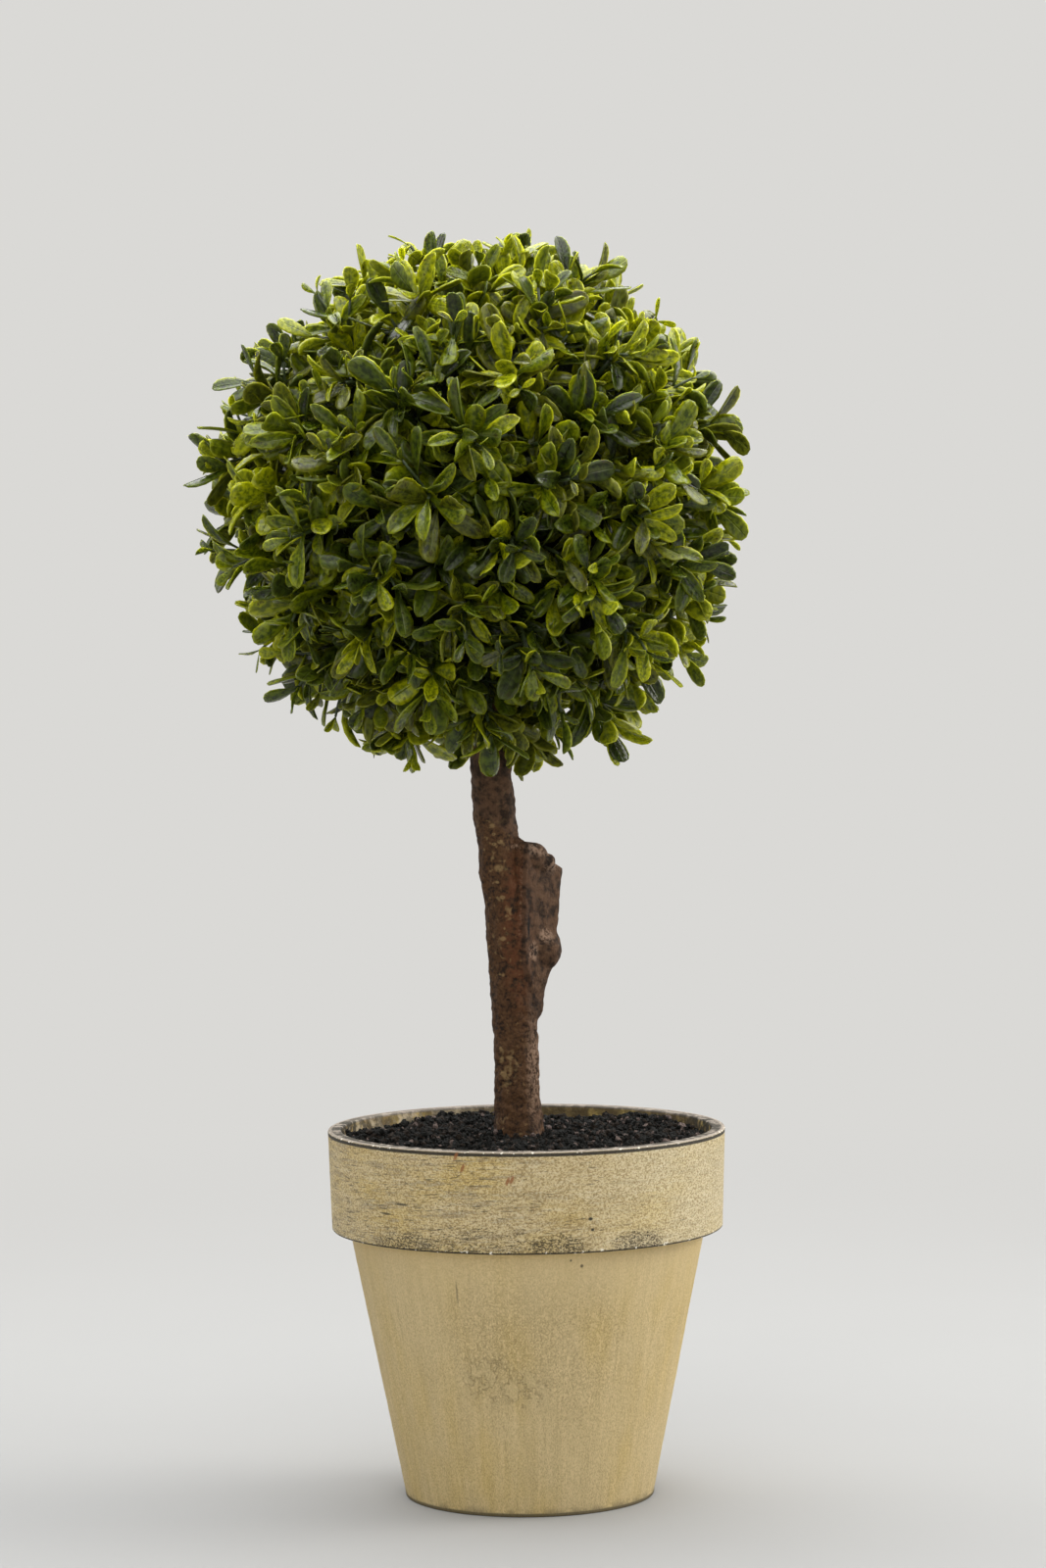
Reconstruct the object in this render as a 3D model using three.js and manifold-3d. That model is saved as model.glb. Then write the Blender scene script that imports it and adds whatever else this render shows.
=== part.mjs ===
// Potted boxwood ball: an artificial box tree, clipped to a ball, on a leaning stem in a painted clay pot.
// Millimetres, +Z up, the front towards -Y. The origin is the middle of the pot's flat underside.

import * as THREE from "three";
import { mergeVertices } from "three/addons/utils/BufferGeometryUtils.js";
import Module from "manifold-3d";

const wasm = await Module();
wasm.setup();

// The gap that neighbouring solids keep, and the distance within which two corners are one
const CLEARANCE = 0.3;
const WELD = 1e-4;

// Clay pot: a straight band over a tapering body
const POT_HEIGHT = 111;
const RIM_RADIUS = 60;
const BAND_HEIGHT = 30;
const BAND_FOOT_RADIUS = 59;
const BODY_TOP_RADIUS = 53.7;
const BASE_RADIUS = 37.5;
const RIM_WALL = 4.2;
const BODY_WALL = 4.3;
const FLOOR_THICKNESS = 6;
const ARRIS = 0.9;
const INNER_LEDGE = 4;
const INNER_TAPER = 0.8;
const POT_SIDES = 48;

// Filling in the pot, and the dark granules that cover it
const FILLING_TOP = 97;
const SOIL_EDGE_TOP = 108.4;
const SOIL_MOUND = 1;
const SOIL_RINGS = 14;
const SOIL_SIDES = 72;

// Heaps of granules along the wall: how high they stand, how many they are, and the first one's bearing
const HEAP_HEIGHT = 1.2;
const HEAP_COUNT = 5;
const HEAP_BEARING = 0.72;

// Clods of granules: how high they stand, how wide they are, and how their rows wind
const CLOD_HEIGHT = 0.9;
const CLOD_LENGTH = 2.3;
const CLOD_BEND = 7;

// Stem: it leans to the left as it rises, and ends inside the ball's core
const STEM_FOOT = new THREE.Vector3(-2.3, 0, 108.6);
const STEM_WAIST = new THREE.Vector3(-2.9, -0.2, 135);
const STEM_BEND = new THREE.Vector3(-4.6, -0.6, 168);
const STEM_NECK = new THREE.Vector3(-8.6, -1.2, 206);
const STEM_TIP = new THREE.Vector3(-11.4, -2, 262);
const STEM_RADIUS = 6.5;
const STEM_TIP_RADIUS = 5.7;
const STEM_FLARE = 1.1;
const STEM_FLARE_LENGTH = 0.05;
const STEM_SIDES = 16;
const STEM_RINGS = 20;

// Bark ridges on the stem: how deep, how many round it, and how far they wind along it
const STEM_RIDGES = [
  { depth: 0.14, count: 3, wind: 9 },
  { depth: 0.1, count: 5, wind: -17 },
];

// Lopped side branch: it leaves the stem on the right and is sawn off beside it
const BRANCH_FOOT = new THREE.Vector3(-2.2, 1, 142);
const BRANCH_HEAD = new THREE.Vector3(4.9, 3, 202);
const BRANCH_FOOT_RADIUS = 5.2;
const BRANCH_RADIUS = 9.1;
const BRANCH_SWELL_END = 0.42;
const BRANCH_SIDES = 18;
const BRANCH_RINGS = 9;
const BRANCH_RIDGES = [{ depth: 0.25, count: 4, wind: 11 }];
const SAW_CUT_NORMAL = new THREE.Vector3(0.76, -0.65, 0.02);
const SAW_CUT_THROUGH = new THREE.Vector3(5.9, -0.1, 180);
const TOP_CUT_NORMAL = new THREE.Vector3(0.57, 0.08, 0.82);
const TOP_CUT_THROUGH = new THREE.Vector3(9.5, 3, 190.4);

// Knots that stand out of the branch: over the top cut, at the foot of the saw cut, and in the crotch
const KNOTS = [
  { centre: new THREE.Vector3(2.6, 0.5, 192.6), radius: 4.4 },
  { centre: new THREE.Vector3(5.2, 3.5, 164.3), radius: 5.8 },
  { centre: new THREE.Vector3(-0.4, 1, 148), radius: 5.3 },
];
const KNOT_DETAIL = 2;

// Foliage ball: a core with sprigs set all round it
const BALL_CENTRE = new THREE.Vector3(-12.6, -2, 299.5);
const CORE_RADIUS = 55;
const CORE_DETAIL = 2;
const SPRIG_COUNT = 96;
const SPRIG_SEED = 4211;
const SPRIG_STRIDE = 7919;
const SPRIG_ROOT_RADIUS = 50;
const SPRIG_TILT = 0.16;
const REACH_SHORT = 81;
const REACH_LONG = 89;
const SPACE_RADIUS = 90;
const TWIG_RADIUS = 1.6;
const TWIG_TIP_RADIUS = 1.2;
const LEAF_LENGTH = 20;
const LEAF_WIDTH = 12;
const LEAF_THICKNESS = 1.3;
const LEAF_CUP = 0.9;
const LEAF_WIDEST = 0.6;
const LEAF_SMALL = 0.86;
const LEAF_LARGE = 1.06;
const JOIN_TOLERANCE = 0.02;
const CORNER_GAP = 0.01;
const LEAF_TRIES = 6;
const LEAF_STRIDE = 131;

// How far a leaf strays from its whorl: round the twig, in its spread, and rolled on its own axis
const STRAY_ROUND = 0.3;
const STRAY_SPREAD = 0.12;
const STRAY_ROLL = 0.45;

const TERMINAL_SHARE = 0.86;
const STEM_KEEP_OUT = 1.2;

// Whorls along a sprig: how far up the twig, how far the leaves spread from it, how many there are,
// and how far behind the twig's middle line their roots start
const WHORLS = [
  { along: 1, spread: 0.2, count: 1, sunk: 1.5 },
  { along: 0.78, spread: 0.78, count: 2, sunk: 0.1 },
  { along: 0.4, spread: 1.12, count: 2, sunk: 0.1 },
];

/** Park and Miller's generator: the same draws for the same seed. */
class Dice {
  constructor(seed) {
    this.state = seed;
    for (let i = 0; i < 4; i++) this.draw();
  }

  draw() {
    this.state = (this.state * 16807) % 2147483647;
    return this.state / 2147483647;
  }

  between(low, high) {
    return low + (high - low) * this.draw();
  }
}

/** Keeps positions only and merges the vertices that faces share. */
function welded(geometry) {
  const bare = geometry.clone();
  bare.deleteAttribute("normal");
  bare.deleteAttribute("uv");
  const merged = mergeVertices(bare, WELD);
  const corners = merged.index.array;
  const kept = [];
  for (let i = 0; i < corners.length; i += 3) {
    const [a, b, c] = [corners[i], corners[i + 1], corners[i + 2]];
    if (a !== b && b !== c && c !== a) kept.push(a, b, c);
  }
  merged.setIndex(kept);
  return merged;
}

/** A closed geometry as a solid that can be joined and cut. */
function solidOf(geometry) {
  const mesh = welded(geometry);
  return new wasm.Manifold(
    new wasm.Mesh({
      numProp: 3,
      vertProperties: new Float32Array(mesh.attributes.position.array),
      triVerts: new Uint32Array(mesh.index.array),
    }),
  );
}

/** A solid as a geometry. */
function geometryOf(solid) {
  const mesh = solid.getMesh();
  const positions = new Float32Array(mesh.numVert * 3);
  for (let i = 0; i < mesh.numVert; i++) {
    positions.set(mesh.vertProperties.subarray(i * mesh.numProp, i * mesh.numProp + 3), i * 3);
  }
  const geometry = new THREE.BufferGeometry();
  geometry.setAttribute("position", new THREE.BufferAttribute(positions, 3));
  geometry.setIndex(new THREE.BufferAttribute(mesh.triVerts, 1));
  geometry.computeVertexNormals();
  return geometry;
}

/** Moves every vertex of a geometry to where the function puts it. */
function reshape(geometry, place) {
  const positions = geometry.attributes.position;
  const point = new THREE.Vector3();
  for (let i = 0; i < positions.count; i++) {
    point.fromBufferAttribute(positions, i);
    place(point);
    positions.setXYZ(i, point.x, point.y, point.z);
  }
  return geometry;
}

/** A turned shape round the Z axis from [radius, height] pairs, the profile running up its outside. */
function turned(profile, sides) {
  const points = profile.map(([radius, height]) => new THREE.Vector2(radius, height));
  return new THREE.LatheGeometry(points, sides).rotateX(Math.PI / 2);
}

/** A limb along a path, with level ends. radiusAt gives its radius, from how far along and round it. */
function limb(path, radiusAt, sides, rings) {
  const cylinder = new THREE.CylinderGeometry(1, 1, 1, sides, rings).rotateX(Math.PI / 2);
  return reshape(welded(cylinder), (point) => {
    const along = point.z + 0.5;
    const angle = Math.atan2(point.y, point.x);
    const out = Math.hypot(point.x, point.y) * radiusAt(along, angle);
    const centre = path.getPoint(along);
    point.set(centre.x + out * Math.cos(angle), centre.y + out * Math.sin(angle), centre.z);
  });
}

/** A large block with one face through a point, reaching from there against the normal. */
function halfSpace(through, normal) {
  const size = 400;
  const block = new THREE.BoxGeometry(size, size, size).translate(0, 0, -size / 2);
  const turn = new THREE.Quaternion().setFromUnitVectors(
    new THREE.Vector3(0, 0, 1),
    normal.clone().normalize(),
  );
  return solidOf(block.applyQuaternion(turn).translate(through.x, through.y, through.z));
}

/** The radius of the pot's outside below the band. */
function bodyRadius(height) {
  const share = height / (POT_HEIGHT - BAND_HEIGHT);
  return BASE_RADIUS + (BODY_TOP_RADIUS - BASE_RADIUS) * share;
}

/** The pot's inside from its rim down to the floor, as [radius, height] pairs. */
function potInside() {
  const ledge = POT_HEIGHT - BAND_HEIGHT + INNER_LEDGE;
  const shoulder = ledge - 1.5 * INNER_LEDGE;
  return [
    [RIM_RADIUS - RIM_WALL, POT_HEIGHT],
    [BAND_FOOT_RADIUS - RIM_WALL - INNER_TAPER, ledge],
    [bodyRadius(shoulder) - BODY_WALL, shoulder],
    [bodyRadius(FLOOR_THICKNESS) - BODY_WALL, FLOOR_THICKNESS],
  ];
}

/** The pot's inside radius at a height. */
function insideRadius(height) {
  const wall = potInside();
  const upper = wall.findIndex(([, level], i) => i + 1 < wall.length && wall[i + 1][1] <= height);
  const [[topRadius, top], [footRadius, foot]] = [wall[upper], wall[upper + 1]];
  return footRadius + ((topRadius - footRadius) * (height - foot)) / (top - foot);
}

/** Pot: one turned piece, hollow, with softened edges. */
function pot() {
  const bandFoot = POT_HEIGHT - BAND_HEIGHT;
  const [rimInside, ...wall] = potInside();
  const outside = [
    [0, 0],
    [BASE_RADIUS - ARRIS, 0],
    [bodyRadius(ARRIS), ARRIS],
    [bodyRadius(bandFoot / 2), bandFoot / 2],
    [BODY_TOP_RADIUS, bandFoot],
    [BAND_FOOT_RADIUS - ARRIS, bandFoot],
    [BAND_FOOT_RADIUS, bandFoot + ARRIS],
    [RIM_RADIUS, POT_HEIGHT - ARRIS],
    [RIM_RADIUS - ARRIS, POT_HEIGHT],
  ];
  const inside = [[rimInside[0] + ARRIS, POT_HEIGHT], [rimInside[0], POT_HEIGHT - ARRIS], ...wall];
  return turned([...outside, ...inside, [0, FLOOR_THICKNESS]], POT_SIDES);
}

/** Filling: the weight that holds the stem, clear of the pot's walls. */
function filling() {
  const floor = FLOOR_THICKNESS + CLEARANCE;
  const [, ledge, shoulder] = potInside();
  const profile = [
    [0, floor],
    [insideRadius(floor) - CLEARANCE, floor],
    [shoulder[0] - CLEARANCE, shoulder[1]],
    [ledge[0] - CLEARANCE, ledge[1] + CLEARANCE],
    [insideRadius(FILLING_TOP) - CLEARANCE, FILLING_TOP],
    [0, FILLING_TOP],
  ];
  return turned(profile, POT_SIDES);
}

/** How far the clods stand out at a place on the soil. */
function clodHeight(x, y) {
  const row = Math.sin(x / CLOD_LENGTH + Math.sin(y / CLOD_BEND));
  const column = Math.sin(y / CLOD_LENGTH + 2 * Math.sin(x / CLOD_BEND));
  return CLOD_HEIGHT * row * column;
}

/** How far the heaps stand out at a place on the soil, most at the wall. */
function heapHeight(x, y, edge) {
  const share = Math.hypot(x, y) / edge;
  return HEAP_HEIGHT * share * share * Math.cos(HEAP_COUNT * (Math.atan2(y, x) - HEAP_BEARING));
}

/** Soil: a low mound of granules, heaped along the wall, with the stem's foot standing in it. */
function soil(stemSpace) {
  const foot = FILLING_TOP + CLEARANCE;
  const edge = insideRadius(foot) - CLEARANCE;
  const rings = Array.from({ length: SOIL_RINGS }, (_, i) => {
    const share = 1 - (i + 1) / SOIL_RINGS;
    return [edge * share, SOIL_EDGE_TOP + SOIL_MOUND * (1 - share * share)];
  });
  const disc = turned([[0, foot], [edge, foot], [edge, SOIL_EDGE_TOP], ...rings], SOIL_SIDES);
  const bumpy = reshape(welded(disc), (point) => {
    if (point.z < SOIL_EDGE_TOP - CLEARANCE) return;
    const inside = Math.hypot(point.x, point.y) < edge - CLEARANCE;
    point.z += heapHeight(point.x, point.y, edge) + (inside ? clodHeight(point.x, point.y) : 0);
  });
  return geometryOf(solidOf(bumpy).subtract(stemSpace));
}

/** The stem's course from its foot to its tip, lengthened at both ends by a margin. */
function stemPath(margin) {
  const course = [STEM_FOOT, STEM_WAIST, STEM_BEND, STEM_NECK, STEM_TIP].map((p) => p.clone());
  course[0].z -= margin;
  course[course.length - 1].z += margin;
  return new THREE.CatmullRomCurve3(course);
}

/** How far bark ridges stand out at a place along and round a limb. */
function ridgesAt(ridges, along, angle) {
  const heights = ridges.map(({ depth, count, wind }) => depth * Math.sin(count * angle + wind * along));
  return heights.reduce((sum, height) => sum + height, 0);
}

/** The stem's radius: a flared foot, a slight taper and shallow bark ridges. */
function stemRadius(along, angle) {
  const flare = STEM_FLARE * Math.exp(-along / STEM_FLARE_LENGTH);
  const taper = STEM_RADIUS + (STEM_TIP_RADIUS - STEM_RADIUS) * along * along;
  return taper + flare + ridgesAt(STEM_RIDGES, along, angle);
}

/** Stem: from the flat cut at the soil to its tip in the core. A margin makes the space it needs. */
function stem(margin = 0) {
  const radiusAt = (along, angle) => stemRadius(along, angle) + margin;
  return limb(stemPath(margin), radiusAt, STEM_SIDES, STEM_RINGS);
}

/** Lopped branch: a stout limb that tapers down into the stem, with its two saw cuts and its knots. */
function loppedBranch(stemSpace) {
  const path = new THREE.LineCurve3(BRANCH_FOOT, BRANCH_HEAD);
  const radiusAt = (along, angle) => {
    const swell = THREE.MathUtils.smoothstep(along, 0, BRANCH_SWELL_END);
    const taper = BRANCH_FOOT_RADIUS + (BRANCH_RADIUS - BRANCH_FOOT_RADIUS) * swell;
    return taper + ridgesAt(BRANCH_RIDGES, along, angle);
  };
  const sawn = solidOf(limb(path, radiusAt, BRANCH_SIDES, BRANCH_RINGS))
    .intersect(halfSpace(SAW_CUT_THROUGH, SAW_CUT_NORMAL))
    .intersect(halfSpace(TOP_CUT_THROUGH, TOP_CUT_NORMAL));
  const knots = KNOTS.map(({ centre, radius }) => {
    const { x, y, z } = centre;
    return solidOf(new THREE.IcosahedronGeometry(radius, KNOT_DETAIL).translate(x, y, z));
  });
  const knotted = wasm.Manifold.union([sawn, ...knots]).subtract(stemSpace);
  const pieces = knotted.decompose().sort((a, b) => b.volume() - a.volume());
  return geometryOf(pieces[0].asOriginal().simplify(JOIN_TOLERANCE));
}

/** A unit vector square to another, turned round it by an angle. */
function squareTo(direction, angle) {
  const level = Math.abs(direction.z) < 0.9 ? new THREE.Vector3(0, 0, 1) : new THREE.Vector3(1, 0, 0);
  return new THREE.Vector3().crossVectors(direction, level).normalize().applyAxisAngle(direction, angle);
}

/** The matrix that lays X along a direction with Z towards up, at a point. */
function standing(point, direction, up) {
  const side = new THREE.Vector3().crossVectors(up, direction).normalize();
  const top = new THREE.Vector3().crossVectors(direction, side);
  return new THREE.Matrix4().makeBasis(direction, side, top).setPosition(point);
}

/** Twig: a three-sided limb from one point to another. */
function twig(from, to) {
  const along = new THREE.Vector3().subVectors(to, from);
  const length = along.length();
  const rod = new THREE.CylinderGeometry(TWIG_TIP_RADIUS, TWIG_RADIUS, length, 3)
    .translate(0, length / 2, 0)
    .rotateZ(-Math.PI / 2);
  const direction = along.normalize();
  return rod.applyMatrix4(standing(from, direction, squareTo(direction, 0)));
}

/** Leaf: eight faces, widest past its middle, hollowed along its upper side and bent back at the tip. */
function leaf(root, direction, up, scale) {
  const blade = reshape(new THREE.OctahedronGeometry(1), (point) => {
    const along = point.x < -0.5 ? 0 : point.x > 0.5 ? 1 : LEAF_WIDEST;
    const atSide = Math.abs(point.y) > 0.5;
    const atTip = along === 1;
    const lift = LEAF_CUP * (Number(atSide) - Number(atTip));
    point.set(
      along * LEAF_LENGTH * scale,
      (point.y * LEAF_WIDTH * scale) / 2,
      (point.z * LEAF_THICKNESS) / 2 + lift,
    );
  });
  return blade.applyMatrix4(standing(root, direction, up));
}

/** Where a sprig stands and how far it reaches, by its number: evenly round the ball, then disturbed. */
function sprigPose(number) {
  const dice = new Dice(SPRIG_SEED + SPRIG_STRIDE * number);
  const height = 1 - (2 * (number + 0.5)) / SPRIG_COUNT;
  const goldenAngle = Math.PI * (3 - Math.sqrt(5));
  const turn = number * goldenAngle;
  const level = Math.sqrt(1 - height * height);
  const outward = new THREE.Vector3(level * Math.cos(turn), level * Math.sin(turn), height);
  const sway = squareTo(outward, dice.between(0, 2 * Math.PI));
  const axis = outward.clone().addScaledVector(sway, SPRIG_TILT * dice.draw()).normalize();
  const reach = dice.between(REACH_SHORT, REACH_LONG);
  const twigLength = reach - SPRIG_ROOT_RADIUS - LEAF_LENGTH * TERMINAL_SHARE;
  const root = outward.clone().multiplyScalar(SPRIG_ROOT_RADIUS).add(BALL_CENTRE);
  const tip = root.clone().addScaledVector(axis, twigLength);
  return { number, root, axis, tip, twigLength, twist: dice.between(0, Math.PI) };
}

/** Whether a point is inside the ball's space and clear of the stem. */
function isFree(point, path) {
  if (point.distanceTo(BALL_CENTRE) > SPACE_RADIUS) return false;
  const along = (point.z - STEM_FOOT.z) / (STEM_TIP.z - STEM_FOOT.z);
  if (along > 1) return true;
  const centre = path.getPoint(Math.max(along, 0));
  return Math.hypot(point.x - centre.x, point.y - centre.y) > STEM_RADIUS + STEM_KEEP_OUT;
}

/** A leaf of a sprig's whorl, by its number in the sprig and the try, as the points and turns that lay it. */
function leafPose(pose, whorl, slot, attempt) {
  const { along, spread, count, sunk } = WHORLS[whorl];
  const place = LEAF_STRIDE * (4 * whorl + slot + 1);
  const dice = new Dice(SPRIG_SEED + SPRIG_STRIDE * pose.number + place + attempt);
  const wander = 1 + attempt;
  const round = pose.twist + (whorl * Math.PI) / 2 + (slot * 2 * Math.PI) / count;
  const across = squareTo(pose.axis, round + STRAY_ROUND * wander * dice.between(-1, 1));
  const open = spread * (1 + STRAY_SPREAD * wander * dice.between(-1, 1));
  const scale = dice.between(LEAF_SMALL, LEAF_LARGE);
  const direction = pose.axis
    .clone()
    .multiplyScalar(Math.cos(open))
    .addScaledVector(across, Math.sin(open));
  const up = pose.axis.clone().addScaledVector(direction, -pose.axis.dot(direction)).normalize();
  up.applyAxisAngle(direction, STRAY_ROLL * wander * dice.between(-1, 1));
  const start = pose.root
    .clone()
    .addScaledVector(pose.axis, pose.twigLength * along)
    .addScaledVector(direction, -sunk);
  const end = start.clone().addScaledVector(direction, LEAF_LENGTH * scale);
  return { start, direction, up, scale, end, middle: start.clone().lerp(end, LEAF_WIDEST) };
}

/** Whether a solid touches any of the listed ones. */
function touchesAny(solid, others) {
  const box = solid.boundingBox();
  return others.some(({ other, bounds }) => {
    const apart = [0, 1, 2].some((i) => box.min[i] > bounds.max[i] || box.max[i] < bounds.min[i]);
    return !apart && !solid.intersect(other).isEmpty();
  });
}

/** Whether all corners of a solid lie well apart, so that none run together when its file is rounded. */
function isClean(solid) {
  const { vertProperties, numProp, numVert } = solid.getMesh();
  const corners = Array.from({ length: numVert }, (_, i) =>
    new THREE.Vector3().fromArray(vertProperties, i * numProp),
  );
  return corners.every((corner, i) =>
    corners.slice(i + 1).every((other) => corner.distanceTo(other) > CORNER_GAP),
  );
}

/** All the sprigs, each fused in one. A leaf is turned a little until it has room, or left out. */
function sprigs() {
  const path = stemPath(0);
  const poses = Array.from({ length: SPRIG_COUNT }, (_, number) => sprigPose(number));
  const grown = poses
    .filter(({ tip }) => isFree(tip, path))
    .map((pose) => ({ pose, solid: solidOf(twig(pose.root, pose.tip)) }));
  const placed = grown.map(({ pose, solid }) => ({
    owner: pose.number,
    other: solid,
    bounds: solid.boundingBox(),
  }));
  for (let whorl = 0; whorl < WHORLS.length; whorl++) {
    for (const sprig of grown) {
      const owner = sprig.pose.number;
      const strangers = placed.filter((piece) => piece.owner !== owner);
      for (let slot = 0; slot < WHORLS[whorl].count; slot++) {
        for (let attempt = 0; attempt < LEAF_TRIES; attempt++) {
          const { start, direction, up, scale, end, middle } = leafPose(sprig.pose, whorl, slot, attempt);
          if (!isFree(end, path) || !isFree(middle, path)) continue;
          const blade = solidOf(leaf(start, direction, up, scale));
          if (touchesAny(blade, strangers)) continue;
          const fused = sprig.solid.add(blade).asOriginal().simplify(JOIN_TOLERANCE);
          if (!isClean(fused)) continue;
          sprig.solid = fused;
          placed.push({ owner, other: blade, bounds: blade.boundingBox() });
          break;
        }
      }
    }
  }
  return grown.map(({ solid }) => solid);
}

/** Foliage ball: the core, cut clear of the stem, with every sprig fused to it. */
function foliageBall(stemSpace) {
  const { x, y, z } = BALL_CENTRE;
  const core = new THREE.IcosahedronGeometry(CORE_RADIUS, CORE_DETAIL).translate(x, y, z);
  const joined = wasm.Manifold.union([solidOf(core), ...sprigs()]).subtract(stemSpace);
  const pieces = joined.decompose().sort((a, b) => b.volume() - a.volume());
  return geometryOf(pieces[0].asOriginal().simplify(JOIN_TOLERANCE));
}

/** A named piece with its own finish. */
function piece(name, geometry, color, roughness) {
  const material = new THREE.MeshStandardMaterial({ color, roughness, metalness: 0, flatShading: true });
  const mesh = new THREE.Mesh(geometry, material);
  mesh.name = name;
  return mesh;
}

/** The whole plant in its pot. */
function pottedBoxwoodBall() {
  const stemSpace = solidOf(stem(CLEARANCE));
  const group = new THREE.Group();
  group.add(
    piece("pot", pot(), 0xcdbb87, 0.75),
    piece("filling", filling(), 0x8d8a84, 0.95),
    piece("soil", soil(stemSpace), 0x1f1c1b, 0.9),
    piece("trunk", stem(), 0x5a4436, 0.85),
    piece("lopped_branch", loppedBranch(stemSpace), 0x6b5547, 0.85),
    piece("foliage_ball", foliageBall(stemSpace), 0x6f7f2c, 0.45),
  );
  return group;
}

export default pottedBoxwoodBall();
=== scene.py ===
"""Looks of the potted boxwood ball: an artificial box tree, clipped to a ball, in a painted clay pot.

Shapes are worked out in millimetres and turned into metres when their mesh is made, in the frame of
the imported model: +Z up, the front towards -Y, the origin in the middle of the pot's underside.
"""

import logging
import math
from collections.abc import Callable, Iterator, Sequence
from dataclasses import dataclass, field
from enum import Enum
from functools import reduce

import bmesh
import bpy
import numpy as np
from mathutils import Matrix, Vector, noise


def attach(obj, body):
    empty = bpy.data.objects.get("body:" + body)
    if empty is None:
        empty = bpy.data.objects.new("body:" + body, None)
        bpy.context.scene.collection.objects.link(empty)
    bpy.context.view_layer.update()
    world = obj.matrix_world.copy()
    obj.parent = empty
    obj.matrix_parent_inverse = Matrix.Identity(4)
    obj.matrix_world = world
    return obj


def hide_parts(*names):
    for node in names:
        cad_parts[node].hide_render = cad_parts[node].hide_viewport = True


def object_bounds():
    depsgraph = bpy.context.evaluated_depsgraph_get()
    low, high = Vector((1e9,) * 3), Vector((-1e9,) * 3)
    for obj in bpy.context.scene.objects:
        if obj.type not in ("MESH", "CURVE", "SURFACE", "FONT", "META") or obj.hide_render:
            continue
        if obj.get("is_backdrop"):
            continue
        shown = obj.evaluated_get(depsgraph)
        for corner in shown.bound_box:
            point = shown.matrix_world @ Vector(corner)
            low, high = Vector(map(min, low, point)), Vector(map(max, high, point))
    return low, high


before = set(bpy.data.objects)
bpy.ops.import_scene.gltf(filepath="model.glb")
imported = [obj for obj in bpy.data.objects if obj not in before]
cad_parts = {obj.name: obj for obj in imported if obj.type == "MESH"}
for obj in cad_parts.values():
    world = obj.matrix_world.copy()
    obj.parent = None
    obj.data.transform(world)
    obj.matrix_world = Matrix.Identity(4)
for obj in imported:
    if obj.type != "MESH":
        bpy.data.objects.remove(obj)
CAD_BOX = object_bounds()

log = logging.getLogger("boxwood_ball")

MM = 0.001
BODY = "root"
ATLAS_MAP = "OFBake"
NO_QUADS = np.zeros((0, 4), dtype=int)

Array = np.ndarray
Colour = tuple[int, int, int]
Pair = tuple[float, float]
Point = tuple[float, float, float]
Material = bpy.types.Material
NodeTree = bpy.types.NodeTree
Object = bpy.types.Object
Socket = bpy.types.NodeSocket


class Slot(Enum):
    """The record's slot names; no piece here is given one."""

    CLAY = "painted_clay"
    SOIL = "soil"
    BARK = "bark"
    LEAF = "leaf"


class Dice:
    """A simple generator: the same draws for the same seed, as in the part's source."""

    def __init__(self, seed: int) -> None:
        """Starts at a seed, past its first four draws."""
        self.state = seed
        for _ in range(4):
            self.draw()

    def draw(self) -> float:
        """Returns the next number between 0 and 1."""
        self.state = (self.state * 16807) % 2147483647
        return self.state / 2147483647

    def between(self, low: float, high: float) -> float:
        """Returns the next number between two bounds."""
        return low + (high - low) * self.draw()

    def pick(self, count: int) -> int:
        """Returns one of the whole numbers below count."""
        return min(int(self.draw() * count), count - 1)


def unit(vector: Array) -> Array:
    """Returns a vector of length 1 along another."""
    return vector / max(float(np.linalg.norm(vector)), 1e-12)


def turned(vector: Array, axis: Array, angle: float) -> Array:
    """Returns a vector turned round a unit axis by an angle in radians, by the right-hand rule."""
    along = axis * float(np.dot(axis, vector)) * (1 - math.cos(angle))
    return vector * math.cos(angle) + np.cross(axis, vector) * math.sin(angle) + along


def square_to(direction: Array, angle: float) -> Array:
    """Returns a unit vector square to a direction, turned round it by an angle."""
    level = np.array((0.0, 0.0, 1.0)) if abs(direction[2]) < 0.9 else np.array((1.0, 0.0, 0.0))
    return turned(unit(np.cross(direction, level)), direction, angle)


def opened(axis: Array, across: Array, angle: float) -> Array:
    """Returns a direction that opens from an axis towards another by an angle."""
    return axis * math.cos(angle) + across * math.sin(angle)


def smooth(value: Array | float, low: float, high: float) -> Array | float:
    """Returns 0 below low, 1 above high and a smooth rise between them."""
    share = np.clip((value - low) / (high - low), 0.0, 1.0)
    return share * share * (3 - 2 * share)


def cloud_at(places: Array, size: float, seed: float = 0.0) -> Array:
    """Returns smooth noise, about -1 to 1, at places: with lumps of a size, moved by a seed."""
    shift = Vector((seed, -seed, 2 * seed))
    return np.array([noise.noise(Vector(place) / size + shift) for place in places])


def linear(colour: Colour) -> tuple[float, float, float, float]:
    """Returns a colour seen on a screen, 0 to 255, as the light that a shader works with."""
    shares = (part / 255 for part in colour)
    return (*(s / 12.92 if s <= 0.04045 else ((s + 0.055) / 1.055) ** 2.4 for s in shares), 1.0)


def circle(sides: int) -> tuple[Array, Array]:
    """Returns angles evenly round a circle, and the level unit vectors that point there."""
    angles = np.arange(sides) * 2 * math.pi / sides
    return angles, np.stack((np.cos(angles), np.sin(angles), np.zeros(sides)), axis=-1)


def faceted_ball(subdivisions: int) -> tuple[Array, Array]:
    """Makes a ball of radius 1.

    Args:
        subdivisions: how often its 20 faces are divided, with 1 for not at all.

    Returns:
        Its corners, and its triangles as corner numbers.
    """
    ball = bmesh.new()
    bmesh.ops.create_icosphere(ball, subdivisions=subdivisions, radius=1.0)
    corners = np.array([tuple(vertex.co) for vertex in ball.verts])
    tris = np.array([[vertex.index for vertex in face.verts] for face in ball.faces])
    ball.free()
    return corners, tris


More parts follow.
